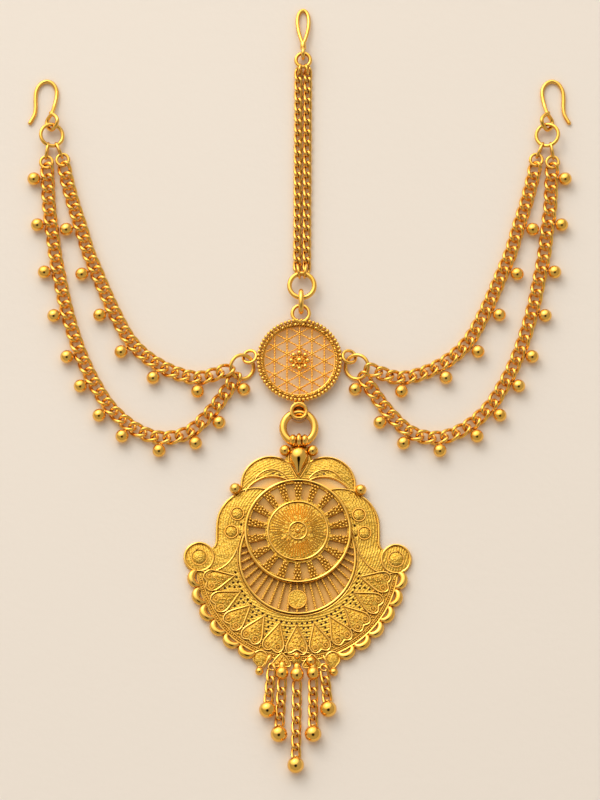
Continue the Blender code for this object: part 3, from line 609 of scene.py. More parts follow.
def make_hook(side, sign):
    """An ear hook of round wire, its foot rolled into a teardrop eye through the hook ring."""
    x, ring_y, level = HOOK_RING
    width, height, tail = 5.3, 10.6, 11.2
    low = 0.55
    wire_radius = 0.53
    eye_y = ring_y + HOOK_RING_RADIUS
    stem = x - 0.05 * width
    rise = eye_y + 1.45
    foot = [(1.12, -0.05), (0.92, 0.13), (0.86, 0.30)]
    bend = [(0.87, 0.57), (0.83, 0.76), (0.64, 0.93), (0.33, 1.0), (0.03, 0.93), (-0.14, 0.76)]
    climb = [(-0.12, 0.54, low + 0.1 * level), (-0.03, 0.33, 0.55 * level)]
    way = [(across, rise + along * tail, low) for across, along in foot]
    way += [(across, rise + along * height, low) for across, along in bend]
    way += [(across, rise + along * height, z) for across, along, z in climb]
    eye = [
        (0.05, 3.0), (0.7, 2.4), (1.5, 1.6), (1.8, 0.6), (1.35, -0.5), (0.5, -1.2), (0, -1.35),
        (-0.5, -1.2), (-1.35, -0.5), (-1.85, 0.6), (-1.6, 1.5), (-0.85, 2.3), (-0.1, 2.85), (0.45, 3.2),
    ]
    centre = Vector((sign * x, eye_y, level))
    turn = Matrix.Rotation(sign * radians(40), 4, "Y")
    route = [(sign * (stem + across * width), y, z) for across, y, z in way]
    route += [tuple(centre + turn @ Vector((sign * u, v, 0))) for u, v in eye]
    path = curved(route, 7)
    tips = [moved(ball(0.52, 12, 8), at(*spot)) for spot in (path[0], path[-1])]
    hook = [wire(path, wire_radius, sides=12)] + tips
    piece("ear_hook_wire_" + side, [(hook, POLISHED)], "ear_hook_" + side)


def make_top_loop():
    """The teardrop loop with its neck and the upright eye in the top ring."""
    ring_low, ring_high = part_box("top_ring")
    x = (ring_low.x + ring_high.x) / 2 / MM
    height, rest = 1.75, 0.5
    eye_radius = 1.25
    eye_y = ring_high.y / MM - 0.45
    eye = moved(ring(eye_radius, 1.0), at(x, eye_y, height) @ FACING_X)
    neck_start = eye_y + eye_radius
    tear_start = neck_start + 1.1
    width, length = 2.9, 9.7
    widest = 0.77  # the largest value of sin(t) * sin(t / 2)
    path = []
    for k in range(-30, 31):
        t = pi * (1 - abs(k) / 30)
        across = copysign(width / 2 / widest * sin(t) * sin(t / 2), k)
        along = length * (1 - cos(t)) / 2
        drop = (height - rest) * along / length
        path.append((x + across, tear_start + along, height - drop))
    neck = turned([(0.62, 0), (0.78, 0.25), (0.78, 1.5), (0.6, 2.1), (0, 2.2)], 20)
    neck = moved(neck, at(x, neck_start - 0.2, height) @ FACING_Y.inverted())
    loop = wire(path, 0.5, sides=12)
    piece("top_loop_wire", [([loop, eye, neck], POLISHED)], "top_loop")


# Chains

def curb_link(half_length, half_width, thickness, twist):
    """One twisted link. Along X, its left strand passes over at the far end, as seen going down."""
    points = []
    for k in range(28):
        t = tau * k / 28
        points.append((half_length * cos(t), half_width * sin(t), -twist * sin(2 * t)))
    return wire(points, thickness / 2, closed=True, sides=10)


def upright_link(upper, lower, half_height, thickness):
    """An upright oval link whose ends reach these two points."""
    upper, lower = Vector(upper), Vector(lower)
    ahead = (lower - upper).normalized()
    side = UP.cross(ahead).normalized()
    length = (lower - upper).length / 2
    link = ring(half_height, thickness, 32, 10, max(0, length - half_height))
    return moved(link, at(*(upper + lower) / 2) @ directed(ahead.cross(side), ahead, side))


def link_places(path, first, last, pitch, lift):
    """Where the links of a chain go, from the first link's middle to the last's."""
    count = max(1, round((last - first) / pitch))
    places = []
    for k in range(count + 1):
        distance = first + (last - first) * k / count
        ahead = path.heading(distance)
        side = UP.cross(ahead).normalized()
        centre = path.point(distance) + UP * lift(distance)
        places.append(at(*centre) @ directed(ahead, side, ahead.cross(side)))
    return places


def eased(value):
    value = min(max(value, 0), 1.0)
    return value * value * (3 - 2 * value)


def make_side_chain(name, sign, route, shares, ring_height, end_shift, hang, pitch):
    """A curb chain with its flat end link and its ball charms, rising to the side ring at its foot.

    The shift moves its end link along Y from the route's start, and its balls hang this far from
    its middle line.
    """
    path = Path(curved([(sign * x, y, 0) for x, y in route]))
    rest = 1.24

    def lift(distance):
        start = 0.15 * (1 - eased(distance / 5))
        end = (ring_height - rest) * eased(1 - (path.length - distance) / 7)
        return rest + start + end

    link = curb_link(0.5 * pitch + 0.68, 1.4, 0.94, 0.8)
    chain = stamped(link, link_places(path, 2.7, path.length - 0.15, pitch, lift))
    x, y = route[0]
    end_link = ring_at((sign * x, y + end_shift, 1.3), 1.52, 0.82)
    balls = []
    eyes = []
    for share in shares:
        distance = share * path.length
        root = path.point(distance)
        ahead = path.heading(distance)
        side = Vector((-ahead.y, ahead.x, 0)) * sign
        balls.append(at(*(root + side * hang + UP * 1.7)))
        eyes.append(at(*(root + side * 1.72 + UP * 1.35)) @ directed(side, UP, side.cross(UP)))
    eyes = stamped(ring(0.42, 0.3, 16, 8), eyes)
    balls = stamped(ball(1.7), balls)
    piece(name + "_links", [([chain, end_link, eyes], POLISHED), ([balls], BALL_GOLD)], name)


def make_strand(side, offset):
    """One strand of the parting chain, with an upright link at each end."""
    ends = []
    for rise in (0, STRAND_LENGTH):
        ends.append((PARTING_X + offset - rise * tan(PARTING_LEAN), PARTING_START + rise, 0))
    path = Path([Vector(ends[1]).lerp(Vector(ends[0]), k / 20) for k in range(21)])
    link = curb_link(1.95, 0.76, 0.78, 0.52)
    places = link_places(path, 1.1, path.length - 1.3, 2.88, lambda distance: 0.92)
    top = path.point(0)
    foot = path.point(path.length)
    inward = -copysign(0.55, offset)
    lower = upright_link((foot.x, foot.y + 1.2, 1.6), (foot.x + inward, foot.y - 2.2, 2.35), 1.35, 0.72)
    upper = upright_link((top.x + inward, top.y + 1.3, 1.7), (top.x, top.y - 1.2, 1.3), 1.0, 0.66)
    name = "parting_strand_" + side
    piece(name + "_links", [([stamped(link, places), lower, upper], POLISHED)], name)


def make_tassels():
    """The five short chains under the pendant's caps, each with a collar and a ball."""
    tassels = [
        (-6.1, -26.1, 0.9, 8.3, -0.10), (-3.5, -28.1, 1.5, 11.7, -0.057),
        (0.15, -28.4, 1.65, 18.85, -0.014), (4.1, -28.1, 1.5, 11.55, 0),
        (6.9, -26.2, 0.9, 7.9, 0.095),
    ]
    link = curb_link(2.35, 0.95, 0.74, 0.5)
    for number, (x, y, cap, length, splay) in enumerate(tassels, start=1):
        start = PENDANT_HANG @ Vector((x, y - cap - 0.3, 0))
        heading = Vector((splay, -1.0, 0)).normalized()
        stop = start + heading * length
        path = Path([start.lerp(stop, k / 10) for k in range(11)])
        places = link_places(path, 1.0, length - 1.2, 3.6, lambda distance: 1.0)
        centre = stop + heading * 1.8 + UP * 2.1
        turn = heading.to_track_quat("Z", "Y").to_matrix().to_4x4()
        collar = moved(ring(0.5, 0.4, 20, 8), at(*(centre - heading * 2.05)) @ turn)
        end = moved(ball(2.1, 32, 20), at(*centre))
        parts = [([stamped(link, places), collar], POLISHED), ([end], BALL_GOLD)]
        piece("tassel_chain_" + str(number), parts, "tassel_" + str(number))


# Medallion

def lattice_lines():
    """The window's lattice: three sets of lines, as pairs of end points."""
    lines = []
    for turn in (0, 60, 120):
        a = radians(turn)
        along = Vector((sin(a), cos(a)))
        across = Vector((along.y, -along.x))
        for step in range(-2, 3):
            offset = step * LATTICE_ROW
            half = sqrt(WINDOW_RADIUS**2 - offset**2)
            middle = across * offset
            lines.append((middle - along * half, middle + along * half))
    return lines


def beaded_line(start, stop, height, thread, bead, pitch, beads):
    """A thin wire from start to stop; its beads are added to the list."""
    start, stop = Vector(start), Vector(stop)
    count = max(2, round((stop - start).length / pitch))
    for k in range(count + 1):
        spot = start.lerp(stop, k / count)
        beads.append((spot.x, spot.y, height + 0.4 * bead))
    return wire([(start.x, start.y, height), (stop.x, stop.y, height)], thread, sides=6)


def rope(radius, height, turns, phase):
    """One strand of the twisted wire that lies on the rim."""
    path = []
    for k in range(420):
        a = tau * k / 420
        roll = turns * a + phase
        reach = radius + 0.18 * cos(roll)
        path.append((reach * cos(a), reach * sin(a), height + 0.18 * sin(roll)))
    return wire(path, 0.2, closed=True, sides=6)


def medallion_rim():
    """The rim with its rings, its twisted wire and its beads."""
    rim = turned(
        [(9.05, 0.3), (9.2, 0), (9.8, 0), (9.95, 0.2), (10.0, 1.7), (9.9, 2.2), (9.3, 2.2), (9.05, 2.0)],
        96,
    )
    wires = [ring_at((0, 0, 2.0), 8.95, 0.36, 96, 8), ring_at((0, 0, 1.55), 9.95, 0.5, 96, 8)]
    ropes = [rope(9.4, 2.25, 44, phase) for phase in (0, pi)]
    beads = stamped(ball(0.52, 12, 8), [at(x, y, 2.42) for x, y in polar_row(RIM_BEADS, 10.3)])
    return [([rim] + wires + ropes, FILIGREE), ([beads], POLISHED)]


def medallion_window():
    """The lattice of beaded threads, with a small flower of granules at its crossings."""
    threads = []
    beads = []
    for start, stop in lattice_lines():
        threads.append(beaded_line(start, stop, LATTICE_HEIGHT, 0.19, 0.3, 0.72, beads))
    hearts = []
    petals = []
    for column in range(-3, 4):
        for step in range(-6, 7):
            x, y = column * LATTICE_ROW, step * LATTICE_SIDE / 2
            if (column + step) % 2 or not 2.9 < hypot(x, y) < 8.5:
                continue
            hearts.append((x, y, LATTICE_HEIGHT + 0.3))
            petals += raised(polar_row(6, 0.52, (x, y)), LATTICE_HEIGHT + 0.18)
    threads += [granules(beads, 0.32), granules(hearts, 0.42), granules(petals, 0.28)]
    return [(threads, BALL_GOLD)]


def medallion_flower():
    """The flower of balls in the middle, on its round pad."""
    pad = turned([(0, 0), (1.7, 0), (1.9, 0.3), (1.9, 1.1), (1.6, 1.4), (0, 1.4)], 40)
    petals = stamped(ball(0.7, 20, 12), [at(x, y, 1.8) for x, y in polar_row(8, 2.05)])
    ends = stamped(ball(0.45, 16, 10), [at(0, y, 1.7) for y in (-3.1, 3.1)])
    return [([pad], FILIGREE), ([petals, ball_at(0.9, 0, 0, 2.0), ends], BALL_GOLD)]


def side_eye(sign):
    """The eye that holds a side ring, tilted about the line between their centres."""
    line = Vector((-sign * (SIDE_RING[0] - SIDE_EYE[0]), SIDE_EYE[1] - SIDE_RING[1], 0)).normalized()
    tilt = Matrix.Rotation(sign * radians(20), 4, line)
    return moved(ring(1.68, 0.88), at(sign * SIDE_EYE[0], SIDE_EYE[1], SIDE_HEIGHT) @ tilt)


def pendant_ring_way():
    """The space that the pendant's ring needs around itself."""
    thickness = PENDANT_RING_WIRE + 2 * PENDANT_RING_CLEARANCE
    return ring_at(PENDANT_RING, PENDANT_RING_RADIUS, thickness, 64, 16)


def make_bail():
    """The upright tube under the medallion that the pendant's ring passes through, and its neck."""
    tube = turned(
        [(1.3, 0.1), (1.5, 0), (2.0, 0), (2.2, 0.2), (2.2, 3.5), (2.3, 3.8), (2.2, 4.15), (1.9, 4.3),
         (1.55, 4.15), (1.35, 3.8), (1.3, 3.3)], 40,
    )
    tube = cut(moved(tube, at(HANG_X, BAIL_Y)), pendant_ring_way())
    neck = sheet_metal([[(-1.3, -11.9), (1.0, -11.9), (1.3, -9.8), (-1.6, -9.8)]], 0.3, 2.0, 0.2)
    return [tube, neck]


def make_medallion():
    """The medallion with its three eyes and its bail."""
    eyes = [ring_at((0.3, 12.1, 2.375), 2.12, 0.96), side_eye(-1), side_eye(1)]
    parts = medallion_rim() + medallion_window() + medallion_flower()
    parts.append((eyes + make_bail(), POLISHED))
    piece("medallion_filigree", parts, "medallion")


# Pendant, worked out about the fan's centre and then hung in its place

LOBE = (6.9, 19.6)
LOBE_RADIUS = 7.5
SCROLL = (24.36, 1.05)
SCROLL_RADIUS = 3.9
SHOULDER = [
    (16.0, 17.1), (18.0, 15.35), (19.5, 13.0), (20.2, 10.7), (20.35, 7.75), (20.4, 5.0), (20.9, 3.7),
    (21.5, 3.5),
]
SUN = (0, SUN_RISE)
SUN_GAPS = 18
PETAL_PITCH = radians(15.4)
PETAL_HALF = PETAL_PITCH * 0.455
RIB_PITCH = radians(6.7)


def mirrored_path(path, sign):
    return [(sign * x, y) for x, y in path]


def shifted(path, x, y):
    return [(x + across, y + along) for across, along in path]


def plate_outline():
    """The plate's edge, from the notch between the lobes down the right side and back up the left."""
    notch = degrees(acos(-LOBE[0] / LOBE_RADIUS))
    lobe = arc(LOBE, LOBE_RADIUS, notch, -12, 24)
    scroll = arc(SCROLL, SCROLL_RADIUS, 128, -80, 24)
    fan_start = degrees(atan2(scroll[-1][1], scroll[-1][0]))
    fan = arc((0, 0), FAN_RADIUS, fan_start, -90, 36)
    right = lobe + curved(SHOULDER, 3) + scroll + fan[1:]
    return right + [(-x, y) for x, y in reversed(right[1:-1])]


def crescent_reach(angle, inset):
    """Distance from the sunburst's centre to the crescent ring's inner side at this angle."""
    offset = SUN_RISE - CRESCENT_RISE
    across = offset * sin(angle)
    return offset * cos(angle) + sqrt((CRESCENT_RADIUS - inset) ** 2 - across**2)


def rib_openings():
    """Slots between the ribs, and the ribs' own lines."""
    start = SUN_RADIUS + 0.2
    half_rib = 0.27
    slots = []
    lines = []
    for k in range(-12, 12):
        corners = []
        for angle, side in ((k * RIB_PITCH, 1), ((k + 1) * RIB_PITCH, -1)):
            reach = crescent_reach(angle, 0.6)
            if reach < start + 0.6:
                break
            for radius in (start, reach):
                corners.append(polar(radius, angle + side * half_rib / radius, SUN))
        if len(corners) == 4:
            slots.append([corners[0], corners[1], corners[3], corners[2]])
    for k in range(-11, 12):
        reach = crescent_reach(k * RIB_PITCH, 0.4)
        if reach > start + 0.5:
            lines.append((polar(start - 0.3, k * RIB_PITCH, SUN), polar(reach, k * RIB_PITCH, SUN)))
    return slots, lines


def top_windows():
    """The two openings between the sunburst and the lobes."""
    low = arc(SUN, SUN_RADIUS + 0.2, 76, 55, 10)
    high = arc((6.4, 14.2), 7.4, 35, 112, 16)
    return [mirrored_path(low + high, sign) for sign in (-1, 1)]


def petal_outline(angle, inset=0):
    """A petal with a pointed inner tip and a heart-lobed end."""
    shares = [
        (15.9, 0), (17.0, 0.26), (18.2, 0.51), (19.4, 0.73), (20.4, 0.89), (21.3, 0.98), (22.1, 0.97),
        (22.9, 0.84), (23.4, 0.62), (23.45, 0.42), (23.2, 0.20), (22.85, 0),
    ]
    shares += [(radius, -share) for radius, share in reversed(shares[1:-1])]
    middle = 20.8
    size = 1 - inset
    return [
        polar(middle + (radius - middle) * size, angle + share * PETAL_HALF * size)
        for radius, share in shares
    ]


def pierced_holes():
    """Small round holes along the fan, in one row and in groups between the petals."""
    row = [polar(15.55, radians(4.7 * k)) for k in range(-17, 18)]
    groups = []
    for k in range(-5, 5):
        for radius, share in ((16.75, 0.63), (16.75, 0.37), (17.9, 0.5), (19.1, 0.5)):
            groups.append(polar(radius, (k + share) * PETAL_PITCH))
    right = [(13.7, 11.3), (14.1, 9.4), (14.3, 6.9), (6.3, 22.6), (4.7, 22.0)]
    sizes = ((0.31, row), (0.29, groups), (0.32, mirrored_path(right, -1) + right))
    return [circle(place, radius, 8) for radius, places in sizes for place in places]


def sun_openings():
    """The gaps between the sunburst's rays, a little wider at their outer ends."""
    outer, inner = radians(5.6), radians(5.2)
    ends = ((8.1, -inner), (12.3, -outer), (12.3, outer), (8.1, inner))
    gaps = []
    for k in range(SUN_GAPS):
        middle = tau * (k + 0.5) / SUN_GAPS
        gaps.append([polar(radius, middle + turn, SUN) for radius, turn in ends])
    return gaps


def spread_row(radius, angle, count, pitch, centre=(0, 0)):
    """Points side by side along a circle, about this angle."""
    steps = [j - (count - 1) / 2 for j in range(count)]
    return [polar(radius, angle + step * pitch / radius, centre) for step in steps]


def sunburst():
    """The raised disc: rings, granule columns, fine rays and boss."""
    disc = sheet_metal([circle(SUN, 13.0, 96)] + sun_openings(), 0.5, 1.5)
    rings = []
    for radius, thickness, height in ((12.95, 0.72, 1.6), (7.4, 0.52, 1.75), (2.2, 0.42, 1.95)):
        rings.append(ring_at((*SUN, height), radius, thickness, 96, 8))
    field = turned([(0, 1.2), (7.7, 1.2), (7.7, 1.6), (7.2, 1.7), (2.3, 1.78), (0, 1.85)], 72)
    field = moved(field, at(*SUN))
    shuffle = random.Random(7)
    rays = []
    for k in range(54):
        angle = tau * k / 54
        inner = 2.6 if k % 3 == 0 else shuffle.uniform(3.0, 4.6)
        outer = shuffle.uniform(6.2, 7.2)
        ends = [polar(radius, angle, SUN) for radius in (inner, outer)]
        rays.append(wire(raised(ends, 1.78), 0.15, sides=4))
    spots = []
    for k in range(SUN_GAPS):
        for radius, count in ((12.15, 3), (11.4, 2), (10.65, 3), (9.9, 2), (9.1, 2), (8.35, 1)):
            spots += raised(spread_row(radius, tau * k / SUN_GAPS, count, 0.76, SUN), 1.66)
    boss_beads = raised(polar_row(8, 1.35, SUN), 1.9)
    return [
        ([disc, field], STIPPLED), (rings, POLISHED), (rays + [granules(spots, 0.35)], FILIGREE),
        ([ball_at(0.6, *SUN, 2.0)], BALL_GOLD), ([granules(boss_beads, 0.28)], FILIGREE),
    ]


def fan_relief():
    """Petals with wire outlines, the border beads and the scallops round the fan."""
    plates = []
    outlines = []
    lines = []
    beads = []
    for k in range(-5, 6):
        angle = k * PETAL_PITCH
        plates.append(sheet_metal([petal_outline(angle, 0.05)], 0.7, 1.05, 0.1))
        outlines.append(wire(raised(petal_outline(angle), 1.12), 0.25, closed=True))
        for share in (-0.5, 0.5):
            curl = polar(22.1, angle + share * PETAL_HALF)
            lines.append(wire(raised(circle(curl, 0.72, 16), 1.12), 0.13, closed=True, sides=6))
            beads.append((*curl, 1.15))
        for radius, count in ((17.9, 1), (19.0, 2), (20.1, 3), (21.0, 2)):
            beads += raised(spread_row(radius, angle, count, 0.95), 1.08)
    for k in range(-6, 6):
        angle = (k + 0.5) * PETAL_PITCH
        beads += raised([polar(radius, angle) for radius in (20.2, 21.4, 22.5, 23.4)], 0.98)
    border = raised([polar(24.35, radians(80 * k / 60)) for k in range(-60, 61)], 0.92)
    edge = arc((0, 0), 24.95, -172, -8, 80)
    inner_edge = arc((0, 0), 23.85, -170, -10, 80)
    lines += [wire(raised(edge, 0.8), 0.28), wire(raised(inner_edge, 0.95), 0.15, sides=6)]
    scallops = []
    for k in range(6):
        angle = radians(28.6 + 10.3 * k)
        scallops += [scallop(-angle), scallop(angle)]
    return [
        (plates, STIPPLED), (lines, FILIGREE), (outlines, POLISHED),
        ([granules(beads, 0.27), granules(border, 0.24)], FILIGREE), (scallops, POLISHED),
    ]


def scallop(angle):
    """A puffed crescent, thick at its outer side and thin at its ends."""
    path = []
    swell = []
    for k in range(21):
        share = k / 10 - 1
        turn = radians(104) * share
        across = 1.72 * sin(turn)
        radius = 25.3 + 1.32 * cos(turn)
        x, y = polar(radius, angle + across / radius)
        path.append((x, y, 1.06))
        swell.append(0.35 + 0.65 * max(0, cos(share * pi / 2)) ** 0.7)
    return wire(path, 1.05, sides=12, swell=swell)


def shoulder_relief():
    """Edge wires of lobes and shoulders, the studs, and the scroll heads."""
    brow = [(7.9, 18.5), (10.5, 18.75), (13.2, 18.35), (15.8, 17.1)]
    hem = [(24.3, -2.5), (22.0, -2.75), (19.6, -2.1), (17.4, -0.6), (15.8, 1.5), (14.9, 3.6)]
    lines = [
        (arc(LOBE, LOBE_RADIUS - 0.3, 158, -12, 30), 0.5),
        (arc((LOBE[0] - 0.3, LOBE[1] - 0.6), 4.6, 150, 25, 20), 0.34),
        (shifted(curved(SHOULDER[:-1], 4), -0.3, -0.15), 0.5),
        (curved(brow, 5), 0.42),
        (arc((6.4, 14.2), 7.65, 28, 118, 18), 0.42),
        (curved(hem, 5), 0.46),
    ]
    wires = []
    discs = []
    beads = []
    for sign in (-1, 1):
        for path, thickness in lines:
            wires.append(wire(raised(mirrored_path(path, sign), PLATE + 0.1), thickness / 2))
        for x, y in ((15.1, 12.2), (16.5, 7.6)):
            stud = turned([(0, 0.8), (1.4, 0.8), (1.4, 0.98), (1.3, 1.05), (0, 1.07)], 28)
            discs.append(moved(stud, at(sign * x, y)))
            wires.append(ring_at((sign * x, y, 1.12), 1.6, 0.34, 32, 6))
        x, y = sign * SCROLL[0], SCROLL[1]
        wires.append(ring_at((x, y, 0.98), 3.55, 0.6, 56, 8))
        wires.append(ring_at((x, y, 1.0), 1.95, 0.28, 40, 6))
        head = turned([(0, 0.8), (1.55, 0.8), (1.55, 1.02), (1.4, 1.1), (0, 1.12)], 28)
        discs.append(moved(head, at(x, y)))
        beads.append((sign * 24.9, 3.1, 1.1))
    offset = SUN_RISE - CRESCENT_RISE
    meeting = (CRESCENT_RADIUS**2 + offset**2 - SUN_RADIUS**2) / (2 * CRESCENT_RADIUS * offset)
    half_gap = degrees(acos(meeting))
    for radius, thickness in ((14.3, 0.66), (14.95, 0.24)):
        crescent = arc((0, CRESCENT_RISE), radius, 90 - half_gap, half_gap - 270, 90)
        wires.append(wire(raised(crescent, PLATE + 0.12), thickness / 2))
    return [(wires, POLISHED), (discs, STIPPLED), ([granules(beads, 0.3)], FILIGREE)]


def ribs(lines):
    """The beaded ribs and the small disc on the middle one."""
    beads = []
    threads = [beaded_line(start, stop, 0.75, 0.2, 0.24, 0.62, beads) for start, stop in lines]
    x, y = 0, SUN_RISE - 17.2
    disc = turned([(0, 0.3), (2.3, 0.3), (2.4, 0.6), (2.4, 1.0), (2.25, 1.15), (0, 1.18)], 40)
    rim = ring_at((x, y, 1.15), 2.25, 0.32, 40, 6)
    return [(threads + [rim, granules(beads, 0.26)], FILIGREE), ([moved(disc, at(x, y))], STIPPLED)]


def crest():
    """The bail bead, the balls beside it, the polished drop below it and the lobe balls."""
    way = moved(pendant_ring_way(), PENDANT_HANG.inverted())
    bead = []
    for x, across, along in ((0, 0.9, 1.9), (-1.45, 1.05, 1.6), (1.45, 1.05, 1.6)):
        lobe = swollen(24, 16, across, along, 1.85)
        bead.append(cut(moved(lobe, at(x, 30.85, 1.9)), way.copy()))
    balls = [ball_at(1.42, sign * 3.45, 28.4, 1.42) for sign in (-1, 1)]
    balls += [ball_at(1.45, x, 18.45, 1.45) for x in (-15.7, 15.5)]
    drop = turned(
        [(0, -2.3), (0.9, -2.15), (1.65, -1.65), (2.15, -0.9), (2.3, 0), (2.15, 0.9), (1.7, 1.9),
         (1.05, 3.0), (0.5, 4.2), (0, 5.1)], 32,
    )
    drop = moved(drop, at(0, 26.9, 2.0) @ Matrix.Diagonal((1, 1, 0.86, 1)) @ FACING_Y)
    seat = [(0.9, 29.8), (2.6, 29.2), (3.2, 27.6), (3.4, 25.6), (2.2, 23.0)]
    seat += [(0, 21.0)] + mirrored_path(reversed(seat), -1)
    seat = sheet_metal([seat], 0.15, 1.0, 0.1)
    curve = [(0.5, 29.3), (1.6, 28.6), (2.5, 27.2), (2.5, 25.6), (1.7, 23.8), (0.4, 21.6)]
    curve = curved(raised(curve, 1.05), 4)
    collar = [wire([(sign * x, y, z) for x, y, z in curve], 0.17, sides=6) for sign in (-1, 1)]
    return [(bead, POLISHED), (balls + [drop], BALL_GOLD), ([seat], STIPPLED), (collar, FILIGREE)]


def bottom_row():
    """Teardrops, hearts, leaves, caps and spur balls that carry the tassels."""
    plates = []
    wires = []
    teardrop = arc((0, 0), 1.75, -35, 215, 18) + [(0, -2.9)]
    heart = [(0, 1.75), (0.8, 1.1), (1.7, 0.1), (2.25, -0.8), (2.15, -1.45), (1.5, -1.75), (0.7, -1.6)]
    heart.append((0, -1.15))
    heart += mirrored_path(reversed(heart[1:-1]), -1)
    for shape, edge, radius, places in (
        (teardrop, 0.12, 0.24, ((-8.9, -24.2), (8.9, -24.3))),
        (heart, 0.15, 0.22, ((-3.65, -24.75), (3.8, -25.0))),
    ):
        for place in places:
            path = shifted(shape, *place)
            plates.append(sheet_metal([path], 0.3, 1.05, edge))
            wires.append(wire(raised(path, 1.1), radius, closed=True))
    beads = [(0, 0.6), (-0.6, -0.2), (0.6, -0.2), (-1.2, -0.95), (0, -0.7), (1.2, -0.95)]
    beads = raised(shifted(beads, -3.65, -24.75), 1.15)
    canopy = [
        (-3.0, -22.9, 1.0), (-1.4, -22.9, 1.1), (0.05, -22.2, 1.2), (1.5, -22.9, 1.1), (3.1, -22.9, 1.0),
    ]
    wires.append(wire(curved(canopy, 5), 0.3))
    middle = turned([(0, 0.3), (1.45, 0.3), (1.45, 0.9), (1.1, 1.2), (0, 1.3)], 28)
    plates.append(moved(middle, at(0.1, -24.4)))
    leaves = []
    leaf = [(0, -1.0), (0.6, -0.8), (1.0, -0.1), (0.9, 0.6), (0.5, 1.8), (0.2, 2.9), (0, 3.1)]
    for x, y, turn, fat in ((-6.7, -25.4, -27, 0.62), (6.9, -25.4, 27, 0.42)):
        lean = Matrix.Rotation(radians(turn), 4, "Z") @ Matrix.Diagonal((fat, 1.0, fat, 1))
        leaves.append(moved(turned(leaf, 16), at(x, y + 1.2, 1.25) @ lean @ FACING_Y))
    shine = [ball_at(0.85, 0.1, -23.7, 1.5), ball_at(1.25, 3.5, -25.0, 1.3)]
    for x, y, radius in ((-3.5, -28.1, 1.6), (0.15, -28.4, 1.72), (4.1, -28.1, 1.6)):
        shine.append(moved(swollen(16, 10, 0.95, 1.3, 0.8), at(x, y + 1.9, 0.85)))
        shine.append(moved(swollen(24, 16, radius, radius * 1.08, radius), at(x, y, radius)))
        place = at(x, y + radius * 0.85, radius)
        wires.append(moved(ring(radius * 0.55, 0.3, 24, 6), place @ FACING_Y))
    for x, y in ((-9.1, -27.6), (9.2, -27.6)):
        shine.append(ball_at(1.05, x, y, 1.1))
        wires.append(moved(ring(0.55, 0.35, 20, 6), at(x, y + 1.0, 1.0) @ FACING_Y))
    wires += [ring_at((x, y, 1.1), 0.85, 0.44, 24, 8) for x, y in ((-6.0, -26.5), (6.8, -26.5))]
    return [
        (plates, STIPPLED), (wires, POLISHED), ([granules(beads, 0.3)], FILIGREE),
        (shine + leaves, BALL_GOLD),
    ]


def make_pendant():
    """The pierced plate with all that lies on it, hung in its place."""
    slots, lines = rib_openings()
    openings = slots + top_windows() + pierced_holes() + sun_openings()
    plate = sheet_metal([plate_outline()] + openings, 0, PLATE)
    parts = [([plate], RIPPLED)]
    parts += sunburst() + fan_relief() + shoulder_relief() + ribs(lines) + crest() + bottom_row()
    for mesh in (mesh for meshes, material in parts for mesh in meshes):
        moved(mesh, PENDANT_HANG)
    piece("pendant_filigree", parts, "pendant")


# Floor, light and camera

def make_floor():
    """A pale matte floor with painted light where the gold lies near: a warm shade and gold bounce light
    painted into its colour, strongest under the pendant and medallion, and a painted glow given off in
    small gaps and under the pendant's windows and sun.
    """
    bm = bmesh.new()
    bmesh.ops.create_grid(bm, x_segments=2, y_segments=2, size=1.5)
    bmesh.ops.translate(bm, verts=bm.verts, vec=(0, 0, -0.00003))
    floor = placed("floor", mesh_from(bm))
    finish = Finish("pale_floor_painted_light")
    pale = finish.mixed(finish.noise(180.0), (0.815, 0.745, 0.668), (0.795, 0.722, 0.643))
    # Zones for painted light: under the pendant, its sun, its two windows, the medallion and the fan.
    under_pendant = finish.near(-0.4, -46.5, 16.5, 20.5)
    under_sun = finish.near(-0.6, -43.1, 11.5, 13.5)
    under_windows = finish.near(-8.4, -31.2, 3.5, 6.0) + finish.near(7.3, -31.4, 3.5, 6.0)
    under_medallion = finish.near(0, 0, 8.5, 10.0)
    under_fan = finish.near(-0.47, -50.5, 23.0, 24.6)
    # Painted shade and bounce light: a warm tint where the ambient occlusion finds the floor hemmed in
    # by gold, and more under the pendant and medallion.
    painted_bounce_zone = under_pendant + under_medallion * 0.4
    painted_shade_share = (1 - finish.openness(3.5)) * (painted_bounce_zone * 0.7 + 0.8) + painted_bounce_zone * 0.6
    # Painted bounce light in the small gaps between gold parts, except under the fan.
    painted_gap_light = (0.78 - finish.openness(1.5)) * 2.0 * (1 - under_fan)
    # The tints of the painted shade: tan, orange in small gaps, deep orange under the pendant and
    # medallion.
    close = finish.mixed(painted_gap_light, (0.92, 0.74, 0.50), (1.0, 0.60, 0.23))
    warm = finish.mixed(painted_bounce_zone, close, (0.86, 0.47, 0.10))
    finish.set(base_color=finish.mixed(painted_shade_share, pale, warm), roughness=0.6)
    # Painted glow: the floor gives off gold-coloured light in small gaps and under the windows, sun and
    # medallion, though no lamp is there.
    shine = painted_gap_light * 0.4 + under_windows * 0.55 + under_sun * 0.28 + under_medallion * 0.5
    glow = finish.mixed(shine, (0, 0, 0), (1.0, 0.66, 0.23))
    finish.set(emission_color=glow, emission_strength=0.33)
    finish.bumped(finish.noise(2.0, 4.0), 0.05)
    floor.data.materials.append(finish.material)


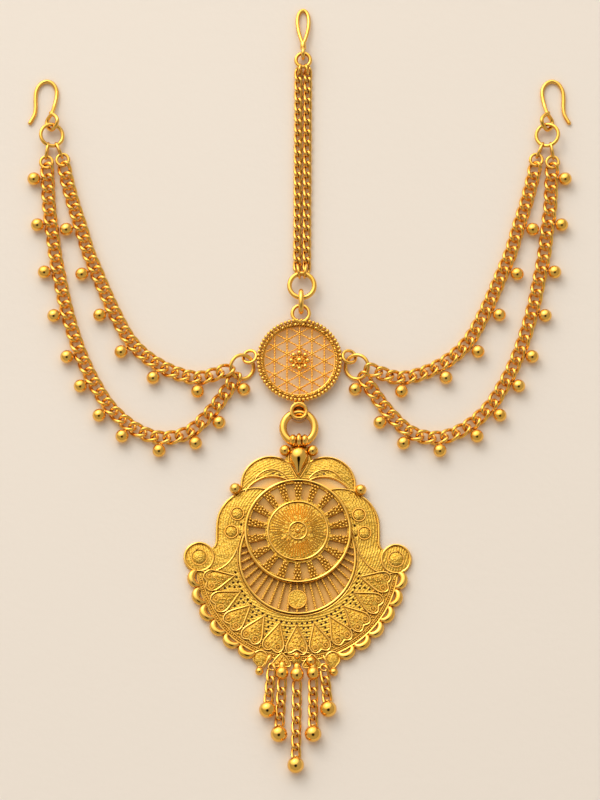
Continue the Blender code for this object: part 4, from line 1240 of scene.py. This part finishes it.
def make_light():
    """A bright warm room, brightest to the upper left, with a dim patch where the camera stands."""
    world = bpy.data.worlds.new("studio")
    world.use_nodes = True
    bpy.context.scene.world = world
    room = Nodes(world.node_tree)
    direction = room.node("TexCoord").outputs["Generated"]

    def patch(towards, edge, middle, strength):
        """Strength within the middle angle of a direction, fading to none at the edge angle."""
        values = {0: direction, 1: Vector(towards).normalized()}
        facing = room.node("VectorMath", {"operation": "DOT_PRODUCT"}, values).outputs["Value"]
        empty, full = (cos(radians(angle)) for angle in (edge, middle))
        return room.faded(facing, empty, full, strength)

    dim_height = radians(68)
    bright = patch((-0.30, 0.72, 0.62), 62, 18, 1.45)
    dim = patch((0, -cos(dim_height), sin(dim_height)), 24, 13, -0.50)
    background = room.tree.nodes["Background"]
    room.feed(background.inputs["Strength"], bright + dim + 0.50)
    room.feed(background.inputs["Color"], (1.0, 0.955, 0.89, 1.0))
    bpy.context.scene.view_settings.view_transform = "Standard"


def aimed(item, place, target):
    """Puts a lamp or a camera at its place, facing the target."""
    item.location = place
    item.rotation_mode = "QUATERNION"
    item.rotation_quaternion = (target - place).to_track_quat("-Z", "Y")


def make_lamp():
    """A square soft lamp at the upper left."""
    data = bpy.data.lights.new("key", "AREA")
    data.shape = "RECTANGLE"
    data.size = data.size_y = 0.42
    data.energy = 2.0
    data.color = (1.0, 0.96, 0.9)
    aimed(placed("key", data), Vector((-0.34, 0.615, 0.64)), Vector((0, -0.01, 0)))


def make_camera():
    """A long lens from 75 degrees above the floor, as far off as the photograph's framing asks."""
    data = bpy.data.cameras.new("camera")
    data.lens = 200
    data.sensor_width = 36
    data.clip_start, data.clip_end = 0.05, 20
    camera = placed("camera", data)
    target = Vector((0.000125, -0.009702, 0))
    elevation = radians(75)
    distance = 1.1111
    back = Vector((0, -cos(elevation), sin(elevation)))
    aimed(camera, target + back * distance, target)
    bpy.context.scene.camera = camera


make_camera()
make_light()
make_lamp()
make_floor()
make_rings()
make_top_loop()
for side, sign in SIDES:
    make_strand(side, sign * 1.18)
for side, sign in SIDES:
    make_hook(side, sign)
    make_side_chain("outer_chain_" + side, sign, OUTER_ROUTE, OUTER_CHARMS, 1.5, -0.2, 3.45, 3.1)
    make_side_chain("inner_chain_" + side, sign, INNER_ROUTE, INNER_CHARMS, 2.1, 0.1, 3.65, 2.9)
make_medallion()
make_pendant()
make_tassels()
